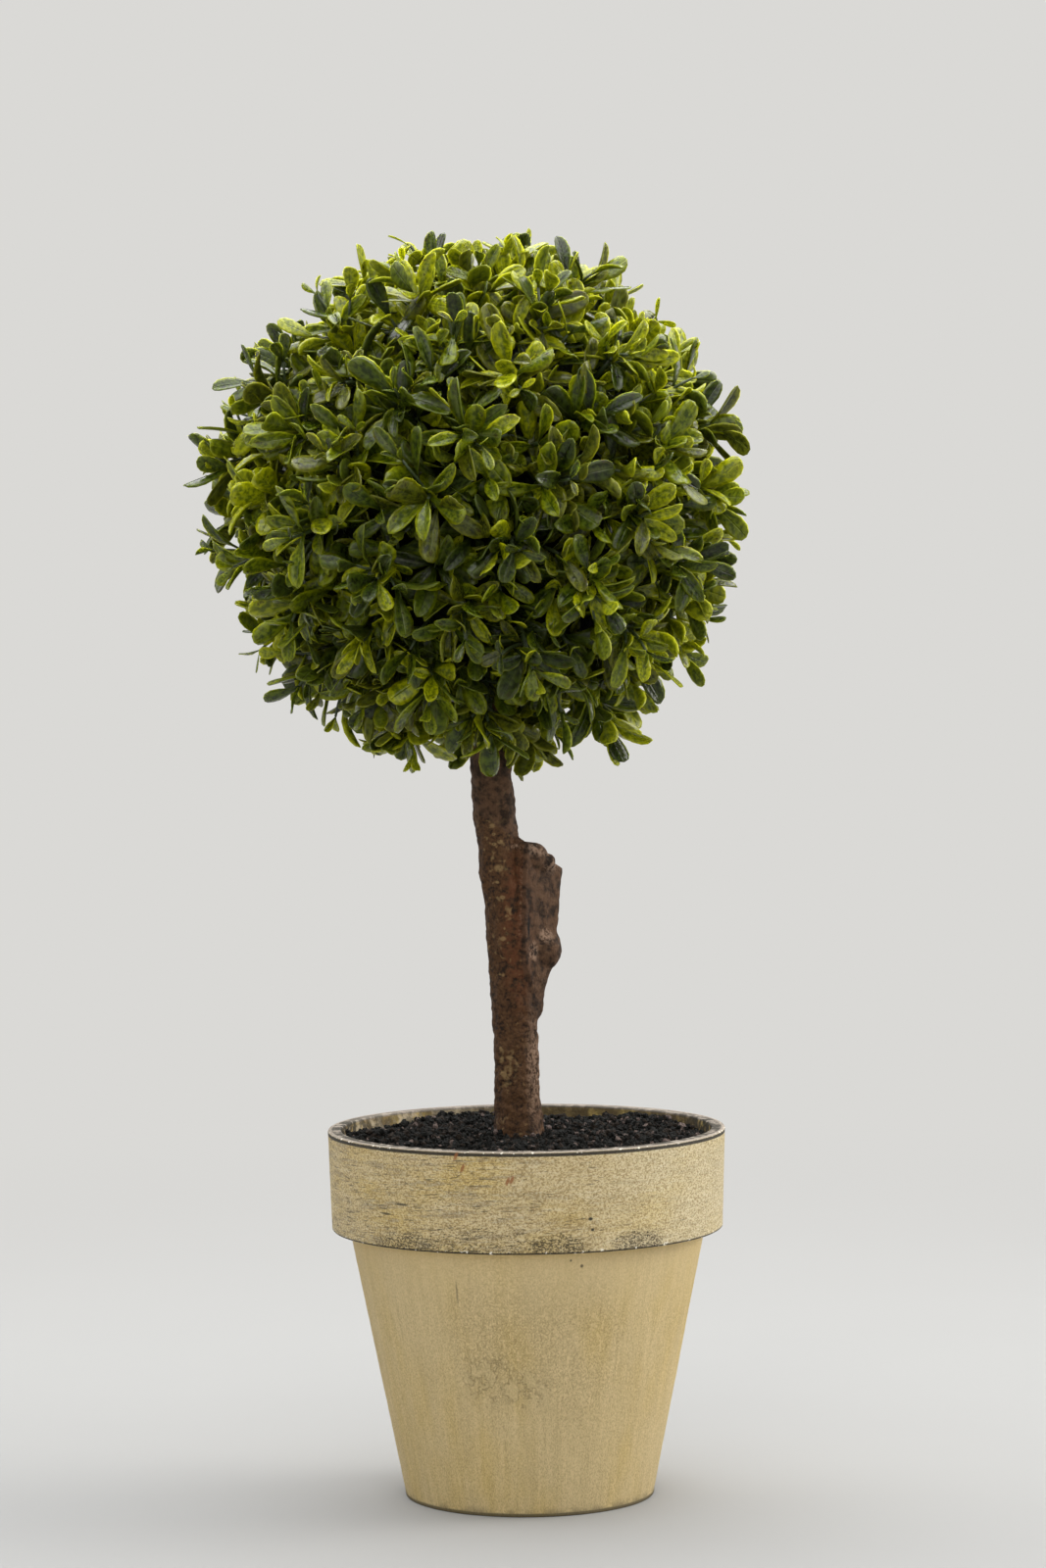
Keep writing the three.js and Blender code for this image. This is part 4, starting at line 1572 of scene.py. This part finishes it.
    def add_leaf(self, start: Array, direction: Array, up: Array, length: float, tint: int) -> None:
        """Adds a leaf if it has room and isn't buried in the core.

        Args:
            start: where its stalk leaves the twig.
            direction: where it points.
            up: where its upper side faces.
            length: its length.
            tint: its tint's number.
        """
        tip = start + direction * length
        buried = self.distance(tip) < self.core_radius + 8
        if not buried and self.has_room(tip) and self.has_room(start + direction * length * 0.6):
            self.leaves.append(Leaf(start, direction, up, length, tint))

    def add_whorl(
        self, start: Array, axis: Array, length: float, whorl: Whorl,
        turn: float, size: float, tint: int, dice: Dice,
    ) -> None:
        """Adds a ring of leaves round a stalk.

        Args:
            start: the stalk's root.
            axis: the stalk's direction.
            length: the stalk's length.
            whorl: where on it the leaves are, how many and how far open.
            turn: how far the first one is turned round the stalk.
            size: the leaves' length.
            tint: the tint of most of them.
            dice: what their strays are drawn from.
        """
        for number in range(whorl.count):
            round_angle = turn + number * 2 * math.pi / whorl.count + dice.between(-0.3, 0.3)
            across = square_to(axis, round_angle)
            direction = opened(axis, across, whorl.spread * dice.between(0.6, 1.4))
            direction = unit(direction + self.outward(start) * dice.between(0.0, self.light_pull))
            up = unit(axis - direction * float(np.dot(axis, direction)))
            up = turned(up, direction, dice.between(-0.6, 0.6))
            own_tint = dice.pick(len(Tint)) if dice.draw() < 0.3 else tint
            place = start + axis * (length * whorl.along)
            self.add_leaf(place, direction, up, size * dice.between(0.8, 1.12), own_tint)

    def add_shoot(self, start: Array, direction: Array, reach: float, seed: int) -> None:
        """Adds a side shoot in the place of one of the source's leaves.

        Args:
            start: where it leaves its twig.
            direction: where it grows.
            reach: how far its end leaf's tip is from its start.
            seed: what its draws start from.
        """
        dice = Dice(seed)
        size = dice.between(*self.shoot_leaves)
        bend = square_to(direction, dice.between(0, 2 * math.pi))
        axis = opened(direction, bend, dice.between(0, 0.35))
        # Young pairs at the end are small and round, and leave room for a longer stalk
        young = dice.draw() < 0.4
        sizes = (dice.between(*self.young_leaves) if young else size * 0.92, size, size * 0.95)
        length = max(reach - sizes[0] * 0.9, 5.0)
        tint = self.choose_tint(dice, self.outward(start))
        turn = dice.between(0, math.pi)
        self.stalks.append(Stalk(start, start + axis * length, 0.62, 0.4))
        for number, whorl in enumerate(self.shoot_whorls if length > 6.5 else self.shoot_whorls[:2]):
            self.add_whorl(start, axis, length, whorl, turn + number * math.pi / 2, sizes[number], tint, dice)
        if dice.draw() < 0.35:
            self.add_whorl(start, axis, length, Whorl(1, 0.15, 1), turn, size * 0.9, tint, dice)

    def sprigs(self, rule: SprigRule) -> Iterator[tuple[int, Array, Array, float, float, Array]]:
        """Stands sprigs evenly round the ball, disturbs them and adds the twig of each that has room.

        Args:
            rule: the rule that they follow.

        Yields:
            A sprig's seed, root, direction, twig's length, first whorl's turn and direction outward.
        """
        for number in range(rule.count):
            seed = rule.seed + self.stride * number
            dice = Dice(seed)
            height = 1 - (2 * (number + 0.5)) / rule.count
            turn = number * math.pi * (3 - math.sqrt(5))
            level = math.sqrt(1 - height * height)
            outward = np.array((level * math.cos(turn), level * math.sin(turn), height))
            sway = square_to(outward, dice.between(0, 2 * math.pi))
            axis = unit(outward + sway * (rule.tilt * dice.draw()))
            length = dice.between(rule.reach_short, rule.reach_long) - self.root_radius - rule.end_length
            root = outward * self.root_radius + np.array(self.centre)
            end = root + axis * length
            if self.has_room(end):
                self.stalks.append(Stalk(root - outward * 2, end, *rule.radii))
                yield seed, root, axis, length, dice.between(0, math.pi), outward

    def grow_main(self) -> None:
        """Grows the source's sprigs, each of their leaves carried on to a shoot with leaves of real size."""
        for seed, root, axis, length, twist, outward in self.sprigs(self.main_rule):
            for ring, whorl in enumerate(self.whorls):
                for slot in range(whorl.count):
                    own_seed = seed + self.leaf_stride * (4 * ring + slot + 1)
                    dice = Dice(own_seed)
                    round_angle = twist + ring * math.pi / 2 + slot * 2 * math.pi / whorl.count
                    across = square_to(axis, round_angle + 0.3 * dice.between(-1, 1))
                    direction = opened(axis, across, whorl.spread * (1 + 0.12 * dice.between(-1, 1)))
                    reach = self.block_length * dice.between(0.86, 1.06)
                    start = root + axis * (length * whorl.along) - direction * whorl.sunk
                    self.add_shoot(start, direction, reach, own_seed + 17)
            dice = Dice(seed + 5)
            tint = self.choose_tint(dice, outward)
            for whorl in self.twig_whorls:
                turn = twist + math.pi * whorl.along
                size = dice.between(*self.main_rule.leaf_lengths)
                self.add_whorl(root, axis, length, whorl, turn, size, tint, dice)

    def grow_infill(self) -> None:
        """Grows shorter sprigs between the others, with leaves straight on their twigs."""
        for seed, root, axis, length, twist, outward in self.sprigs(self.infill_rule):
            dice = Dice(seed + 11)
            tint = self.choose_tint(dice, outward)
            for ring, whorl in enumerate(self.infill_whorls):
                turn = twist + ring * math.pi / 2
                size = dice.between(*self.infill_rule.leaf_lengths)
                self.add_whorl(root, axis, length, whorl, turn, size, tint, dice)

    def grow_strays(self) -> None:
        """Grows the few shoots that stick out of the clipped outline."""
        for number, tip in enumerate(self.strays):
            direction = self.outward(np.array(tip))
            start = np.array(tip) - direction * self.stray_length
            self.stalks.append(Stalk(start - direction * 12, start, 0.8, 0.62))
            self.add_shoot(start, direction, self.stray_length, self.stray_seed + number)

    def leaf_shape(self, chosen: Sequence[Leaf], first: int) -> Shape:
        """Joins leaves into one shape.

        Args:
            chosen: the leaves.
            first: the seed for moulds and prints.

        Returns:
            The shape, with the prints' places on the map.
        """
        draws = np.random.default_rng(first)
        which = draws.integers(len(self.moulds), size=len(chosen))
        prints = draws.integers(self.atlas.prints(), size=len(chosen))
        placed = np.array([(leaf.start, leaf.direction, leaf.up) for leaf in chosen])
        starts, ahead, ups = placed.swapaxes(0, 1)
        lengths = np.array([leaf.length for leaf in chosen])
        sides = np.cross(ups, ahead)
        sides /= np.linalg.norm(sides, axis=1, keepdims=True)
        tops = np.cross(ahead, sides)
        basis = np.stack((ahead, sides, tops), axis=1) * lengths[:, None, None]
        parts = []
        for number, mould in enumerate(self.moulds):
            mine = np.nonzero(which == number)[0]
            model = mould.shape(self.atlas)
            places = np.einsum("pk,nkc->npc", model.places, basis[mine]) + starts[mine][:, None]
            inside = ((places.min(axis=1) > self.low) & (places.max(axis=1) < self.high)).all(axis=1)
            parts.append(repeated(model, places[inside], self.atlas.shift(prints[mine][inside])))
        return joined(parts)

    def stalk_shape(self) -> Shape:
        """Joins all the stalks, each five-sided and a little bent.

        Returns:
            One shape.
        """
        sides, rings = 5, 4
        angles, _ = circle(sides)
        shares = np.linspace(0, 1, rings)
        model = rolled(np.zeros((rings, sides, 3)))
        around = np.arange(sides + 1) / sides
        corners = ((0, 0), (1, 0), (1, 1), (0, 1))
        model.quad_maps = np.array([
            [(around[i + right], shares[ring + up]) for right, up in corners]
            for ring in range(rings - 1)
            for i in range(sides)
        ])
        cap = np.array([(0.4, 0.0), (0.6, 0.0), (0.5, 0.1)])
        model.tri_maps = np.tile(cap, (2 * sides, 1, 1))
        model.quad_slots = np.zeros(len(model.quads), dtype=int)
        model.tri_slots = np.zeros(len(model.tris), dtype=int)
        places = []
        for number, stalk in enumerate(self.stalks):
            course = stalk.end - stalk.start
            axis = unit(course)
            first = square_to(axis, 0.0)
            second = np.cross(axis, first)
            bow = square_to(axis, number * 2.4) * (0.05 * float(np.linalg.norm(course)))
            loop = first * np.cos(angles)[:, None] + second * np.sin(angles)[:, None]
            middles = stalk.start + course * shares[:, None]
            middles = middles + bow * np.sin(shares * math.pi)[:, None]
            radii = stalk.radius + (stalk.end_radius - stalk.radius) * shares
            rings_here = middles[:, None] + loop[None] * radii[:, None, None]
            places.append(np.concatenate((rings_here.reshape(-1, 3), middles[[0, -1]])))
        return repeated(model, np.array(places))

    def core_shape(self) -> Shape:
        """Returns the core: a sphere roughened all over, which carries the painted shade deep in the ball."""
        directions, tris = faceted_ball(5)
        even = directions * self.core_radius
        rough = 0.9 * cloud_at(even, 7.0, 1.3) + 0.5 * cloud_at(even, 2.8, 5.5)
        places = directions * (self.core_radius - 1.2 + rough)[:, None] + np.array(self.centre)
        return Shape(places, NO_QUADS, tris)

    def finishes(self, effects: Effects, tint: Tint) -> list[Material]:
        """Makes a tint's two finishes.

        Args:
            effects: the shared groups.
            tint: the tint.

        Returns:
            The upper side's and the under side's.
        """
        _, tone, shade, edge = tint.value
        pale = tuple(int(0.8 * part + 0.2 * grey) for part, grey in zip(tone, (138, 146, 70)))
        pale_shade = tuple(int(0.85 * part + 0.15 * grey) for part, grey in zip(shade, (110, 120, 56)))
        name = f"Leaf {tint.name.lower()}"
        upper = LeafFinish(f"{name} upper", tone, shade, edge, 0.56, 0.25)
        under = LeafFinish(f"{name} under", pale, pale_shade, edge, 0.63, 0.4)
        return [upper.make(effects), under.make(effects)]

    def dress(self, piece: Object) -> None:
        """Lets a piece stand for the ball's solid and move with the body."""
        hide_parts("foliage_ball")
        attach(piece, BODY)

    def build(self, effects: Effects) -> None:
        """Makes the core, the stalks and one piece of leaves for each tint.

        Args:
            effects: the shared groups.
        """
        self.grow_main()
        self.grow_infill()
        self.grow_strays()
        log.info("%d leaves on %d stalks", len(self.leaves), len(self.stalks))
        # The core's near-black colour is painted shade: it stands for the dark deep between the sprigs
        foam = GritFinish("Painted shade core", (17, 25, 8), (6, 9, 3), 0.5, 0.6, 0.1).make(effects)
        self.dress(self.core_shape().to_object("foliage_core", [foam]))
        self.dress(self.stalk_shape().to_object("foliage_stalks", [TwigFinish().make()]))
        for number, tint in enumerate(Tint):
            chosen = [leaf for leaf in self.leaves if leaf.tint == number]
            shape = self.leaf_shape(chosen, 100 + number)
            self.dress(shape.to_object(f"leaves_{tint.name.lower()}", self.finishes(effects, tint)))


@dataclass
class Pot:
    """The clay pot: a straight band over a tapering body, hollow, with worn edges.

    Args:
        height: the whole height.
        rim_radius: the band's radius at the top.
        band_height: how tall the band is.
        band_foot_radius: its radius at its foot.
        body_radius: the body's radius under the band.
        base_radius: its radius at the base.
        wall: how thick the wall is.
        floor: how thick the floor is.
        arris: how far the edges are rounded.
        sides: how many faces go round it.
    """

    height: float = 111
    rim_radius: float = 60
    band_height: float = 30
    band_foot_radius: float = 59
    body_radius: float = 53.7
    base_radius: float = 37.5
    wall: float = 4.3
    floor: float = 6
    arris: float = 0.5
    sides: int = 300

    def profile(self) -> list[tuple[float, float, PotPart]]:
        """Draws the outline from the middle of the underside to the middle of the floor inside.

        Returns:
            Its points: radius, height and part of the pot.
        """
        top, foot = self.height, self.height - self.band_height
        rim, band_foot, base, arris = self.rim_radius, self.band_foot_radius, self.base_radius, self.arris

        def run(start: Pair, end: Pair, steps: int, part: PotPart) -> list:
            """Draws a straight run of the outline.

            Args:
                start: its first point.
                end: where it ends, itself left out.
                steps: how many points it has.
                part: the part of the pot that it bounds.

            Returns:
                The points.
            """
            wide, tall = end[0] - start[0], end[1] - start[1]
            shares = (step / steps for step in range(steps))
            return [(start[0] + wide * share, start[1] + tall * share, part) for share in shares]

        def corner(x: float, z: float, turn: float, end: float, part: PotPart) -> list:
            """Returns points round an edge, from an angle to another, in degrees."""
            angles = (math.radians(turn + (end - turn) * step / 5) for step in range(5))
            return [(x + arris * math.cos(angle), z + arris * math.sin(angle), part) for angle in angles]

        lip = self.wall - 0.1
        inner_rim = rim - lip
        ledge = (band_foot - lip - 0.8, foot + 4)
        lean = (self.body_radius - base) / foot
        shoulder = (base + lean * (foot - 2) - self.wall, foot - 2)
        floor_edge = (base + lean * self.floor - self.wall, self.floor)
        body, band, inside = PotPart.BODY, PotPart.BAND, PotPart.INSIDE
        points = [
            *run((0.0, 0.0), (base - arris, 0.0), 6, body),
            *corner(base - arris + 0.1, arris, -90, -12, body),
            *run((base + lean * arris, arris), (self.body_radius, foot), 84, body),
            *run((self.body_radius, foot), (band_foot - arris, foot), 4, body),
            *corner(band_foot - arris, foot + arris, -90, 0, band),
            *run((band_foot, foot + arris), (rim, top - arris), 60, band),
            *corner(rim - arris, top - arris, 0, 90, band),
            *run((rim - arris, top), (inner_rim + arris, top), 4, inside),
            *corner(inner_rim + arris, top - arris, 90, 180, inside),
            *run((inner_rim, top - arris), ledge, 26, inside),
            *run(ledge, shoulder, 5, inside),
            *run(shoulder, floor_edge, 12, inside),
            *run(floor_edge, (0.0, self.floor), 6, inside),
        ]
        return points[1:]

    def shape(self) -> Shape:
        """Makes the pot uneven, as a hand-painted one is, with chips in the band's edges.

        Returns:
            Its skin.
        """
        profile = self.profile()
        _, around = circle(self.sides)
        radii, heights = np.array([point[:2] for point in profile]).T
        rings = around[None] * radii[:, None, None]
        rings[:, :, 2] = heights[:, None]
        places = rings.reshape(-1, 3)
        foot = self.height - self.band_height
        outside = np.repeat([point[2] is not PotPart.INSIDE for point in profile], self.sides)
        above_base = places[:, 2] > 0.5
        waves = 0.1 * (cloud_at(places, 18, 2.2) - 0.8) + 0.06 * (cloud_at(places, 3.5, 6.1) - 0.8)
        edge = np.minimum(np.abs(places[:, 2] - foot - 0.5), np.abs(places[:, 2] - self.height + 0.5))
        chips = smooth(cloud_at(places, 2.2, 9.4), 0.42, 0.75) * smooth(-edge, -1.1, -0.3) * -0.45
        radial = np.where(outside & above_base, waves + chips, 0.0)
        outward = np.tile(around, (len(profile), 1))
        skin = rolled((places + outward * radial[:, None]).reshape(len(profile), self.sides, 3))
        slots = np.array([point[2].value for point in profile])
        skin.quad_slots = np.repeat(slots[:-1], self.sides)
        skin.tri_slots = np.repeat((PotPart.BODY.value, PotPart.INSIDE.value), self.sides)
        return skin

    def build(self, effects: Effects) -> None:
        """Makes the pot and paints it.

        Args:
            effects: the shared groups.
        """
        foot = self.height - self.band_height
        clay = PaintedClay(rim_radius=self.rim_radius, pot_height=self.height, band_foot=foot)
        paints = [clay.band(effects), clay.body(effects), clay.inside(effects)]
        piece = self.shape().to_object("painted_pot", paints)
        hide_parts("pot")
        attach(piece, BODY)


@dataclass
class Soil:
    """The bed of black granules round the stem's foot.

    Args:
        radius: how far the bed reaches, to the pot's inside.
        foot: where it starts, on the filling.
        edge_top: its height at the wall.
        mound: how much higher it is in the middle.
        granules: how many loose granules lie on it.
        stem_room: what the granules keep free round the stem.
        heap_height: how high the heaps along the wall stand.
        heap_count: how many they are.
        heap_bearing: where the first one is, in radians.
        clod_height: how high the clods stand.
        clod_length: how wide they are.
        clod_bend: how their rows wind.
        sunk: how deep the bed lies under the granules' tops.
    """

    radius: float = 54.4
    foot: float = 97.3
    edge_top: float = 108.4
    mound: float = 1
    granules: int = 8000
    stem_room: float = 7.2
    heap_height: float = 1.2
    heap_count: int = 5
    heap_bearing: float = 0.72
    clod_height: float = 0.9
    clod_length: float = 2.3
    clod_bend: float = 7
    sunk: float = 0.7

    def top(self, places: Array) -> Array:
        """Raises the solid's mound, heaps and clods, sunk by what lies on them.

        Args:
            places: in millimetres.

        Returns:
            The bed's height at each place.
        """
        x, y = places[:, 0], places[:, 1]
        row = np.sin(x / self.clod_length + np.sin(y / self.clod_bend))
        column = np.sin(y / self.clod_length + 2 * np.sin(x / self.clod_bend))
        share = np.hypot(x, y) / self.radius
        calm = smooth(-share, -1.0, -0.95)
        clods = self.clod_height * row * column * calm + 0.35 * cloud_at(places * (1, 1, 0), 4.5, 4.4)
        heaps = self.heap_height * share**2 * np.cos(self.heap_count * (np.arctan2(y, x) - self.heap_bearing))
        return self.edge_top + self.mound * (1 - share**2) + heaps + clods - self.sunk

    def bed_shape(self) -> Shape:
        """Returns the bed under the granules: a low uneven mound."""
        sides, steps = 132, 44
        _, around = circle(sides)
        rings = [around + (0, 0, self.foot), around * self.radius + (0, 0, self.foot)]
        for step in range(steps):
            ring = around * (self.radius * (1 - step / steps))
            ring[:, 2] = self.top(ring) + 0.3 * cloud_at(ring * (1, 1, 0), 1.6, 8.1)
            rings.append(ring)
        return rolled(np.array(rings))

    def granule_shape(self) -> Shape:
        """Strews the loose granules: small chunks, each of its own shape and turn.

        Returns:
            One shape.
        """
        draws = np.random.default_rng(61)
        corners, tris = faceted_ball(1)
        distance = self.radius * np.sqrt(draws.random(self.granules))
        angle = draws.random(self.granules) * 2 * math.pi
        level = np.stack((np.cos(angle), np.sin(angle), np.zeros(self.granules)), axis=-1)
        middles = distance[:, None] * level
        stem_foot = np.array((*Stem.course[0][:2], 0.0))
        middles = middles[np.linalg.norm(middles - stem_foot, axis=1) > self.stem_room]
        count = len(middles)
        size = 0.3 + 0.95 * draws.random(count) ** 3.4
        middles[:, 2] = self.top(middles) + size * 0.3 + 0.5 * draws.random(count)
        stretch = size[:, None] * (0.6 + 0.8 * draws.random((count, 3)))
        jitter = 0.65 + 0.55 * draws.random((count, len(corners), 1))
        local = corners[None] * jitter * stretch[:, None]
        axes = draws.normal(size=(count, 2, 3))
        first = axes[:, 0] / np.linalg.norm(axes[:, 0], axis=1, keepdims=True)
        second = np.cross(first, axes[:, 1])
        second /= np.linalg.norm(second, axis=1, keepdims=True)
        basis = np.stack((first, second, np.cross(first, second)), axis=1)
        places = np.einsum("npk,nkc->npc", local, basis) + middles[:, None]
        offset = (np.arange(count) * len(corners))[:, None, None]
        grains = Shape(places.reshape(-1, 3), NO_QUADS, (tris[None] + offset).reshape(-1, 3))
        grains.quad_slots = NO_QUADS[:, 0]
        grains.tri_slots = np.repeat(draws.choice(3, size=count, p=(0.72, 0.22, 0.06)), len(tris))
        return grains

    def build(self, effects: Effects) -> None:
        """Makes the bed and the granules.

        Args:
            effects: the shared groups.
        """
        black = SoilFinish("Black peat", (17, 17, 14), (40, 38, 33), 0.66).make(effects)
        brown = SoilFinish("Brown peat", (42, 35, 29), (76, 66, 58), 0.74).make(effects)
        dusty = SoilFinish("Dusty peat", (104, 90, 84), (176, 160, 152), 0.7).make(effects)
        bed = self.bed_shape().to_object("soil_bed", [black])
        grains = self.granule_shape().to_object("soil_granules", [black, brown, dusty])
        grains.data.polygons.foreach_set("use_smooth", [False] * len(grains.data.polygons))
        for piece in (bed, grains):
            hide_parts("soil")
            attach(piece, BODY)


@dataclass(frozen=True)
class SoftLight:
    """A soft light: where it stands, what it is aimed at, its size in metres and its power in watts."""

    name: str
    place: Point
    size: float
    power: float
    colour: Colour = (255, 255, 255)
    aim: Point = (0.0, 0.0, 0.2)

    def build(self) -> None:
        """Makes the light."""
        data = bpy.data.lights.new(self.name, "AREA")
        data.shape = "DISK"
        data.size = self.size
        data.energy = self.power
        data.color = linear(self.colour)[:3]
        lamp = bpy.data.objects.new(self.name, data)
        lamp.location = self.place
        lamp.rotation_euler = (Vector(self.aim) - Vector(self.place)).to_track_quat("-Z", "Y").to_euler()
        bpy.context.scene.collection.objects.link(lamp)


@dataclass
class Studio:
    """A pale floor that fades into a pale surround, soft lights and the camera.

    Args:
        camera_place: in metres.
        pitch: how far the camera looks down, in degrees.
        roll: how far it is turned clockwise, in degrees.
        focal_length: in millimetres, on a film 36 mm tall.
        backdrop: the surround's colour.
        surround_light: how strongly the surround lights the object.
        floor_colour: the floor's colour.
        fade_from: where the floor starts to fade, in millimetres from the middle.
        fade_to: where it has faded.
    """

    camera_place: Point = (0.0, -1.3542, 0.2782)
    pitch: float = 2.688
    roll: float = 0.569
    focal_length: float = 103.5
    backdrop: Colour = (218, 217, 214)
    surround_light: float = 0.26
    floor_colour: Colour = (155, 155, 154)
    fade_from: float = 120
    fade_to: float = 900

    def build_camera(self) -> None:
        """Makes the camera at the photograph's place and angle."""
        data = bpy.data.cameras.new("view")
        data.lens = self.focal_length
        data.sensor_width = 36
        data.clip_start = 0.05
        camera = bpy.data.objects.new("view", data)
        tilt = Matrix.Rotation(math.radians(90 - self.pitch), 4, "X")
        turn = Matrix.Rotation(math.radians(-self.roll), 4, "Z")
        camera.matrix_world = Matrix.Translation(self.camera_place) @ tilt @ turn
        bpy.context.scene.collection.objects.link(camera)
        bpy.context.scene.camera = camera

    def build_world(self) -> None:
        """Makes the surround: what the camera sees, and a dimmer light of the same colour."""
        world = bpy.data.worlds.new("surround")
        bpy.context.scene.world = world
        world.use_nodes = True
        graph = Graph(world.node_tree)
        background = world.node_tree.nodes["Background"]
        seen = graph.make("ShaderNodeLightPath", {}, "Is Camera Ray")
        graph.put(background.inputs["Color"], linear(self.backdrop))
        graph.put(background.inputs["Strength"], seen.span(self.surround_light, 1.0))

    def build_floor(self) -> None:
        """Makes the floor."""
        _, around = circle(128)
        rings = np.array([around * radius for radius in (9000, 1600, 700, 250, 60, 0.01)])
        floor = rolled(rings, capped=False).to_object("floor", [self.floor_material()])
        floor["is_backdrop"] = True

    def floor_material(self) -> Material:
        """Makes the floor's finish: matte and pale, and far out the same as the surround.

        Returns:
            The material.
        """
        graph = Coat("Pale floor")
        place = graph.place()
        cloud = graph.noise(place, 0.004, 3.0)
        darker = tuple(part - 6 for part in self.floor_colour)
        colour = graph.mix(cloud, self.floor_colour, darker)
        graph.give(Base_Color=colour, Roughness=cloud.span(0.7, 0.85), Specular_IOR_Level=0.2)
        glow = graph.make("ShaderNodeEmission", {"Color": linear(self.backdrop)})
        far = graph.length(place).rise(self.fade_from, self.fade_to)
        near = Signal(graph, graph.shader.outputs[0])
        both = graph.make("ShaderNodeMixShader", {0: far, 1: near, 2: glow})
        graph.put(graph.tree.nodes["Material Output"].inputs["Surface"], both)
        return graph.material

    def build(self) -> None:
        """Makes the whole studio."""
        self.build_camera()
        self.build_world()
        self.build_floor()
        lights = (
            SoftLight("window", (2.9, 0.5, 1.4), 2.0, 75, (255, 252, 246)),
            SoftLight("white wall", (-2.2, 1.3, 0.9), 1.8, 12),
            SoftLight("room", (-0.1, -1.9, 1.0), 2.2, 22),
            SoftLight("ceiling", (0.0, 0.18, 1.2), 2.0, 42),
        )
        for light in lights:
            light.build()
        bpy.context.scene.view_settings.view_transform = "Standard"


def dress_filling(effects: Effects) -> None:
    """Gives the hidden filling its own finish."""
    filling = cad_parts["filling"]
    finish = GritFinish("Cement filling", (150, 146, 138), (112, 108, 102), 1.2, 0.3, 0.5).make(effects)
    for slot in filling.material_slots:
        slot.material = finish


def write_sizes() -> None:
    """Gathers the solids' box and the dressed part's box side by side; nothing is written."""
    boxes = {"cad": CAD_BOX, "visual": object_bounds()}
    plain = {name: [list(corner) for corner in box] for name, box in boxes.items()}


def main() -> None:
    """Builds the studio and the part's pieces in order."""
    logging.basicConfig(level=logging.INFO, format="%(name)s: %(message)s")
    atlas = LeafAtlas()
    effects = Effects(atlas)
    Studio().build()
    stem = Stem()
    stem.build(effects)
    Pot().build(effects)
    dress_filling(effects)
    Soil().build(effects)
    FoliageBall(stem, atlas).build(effects)
    write_sizes()


if __name__ == "__main__":
    main()
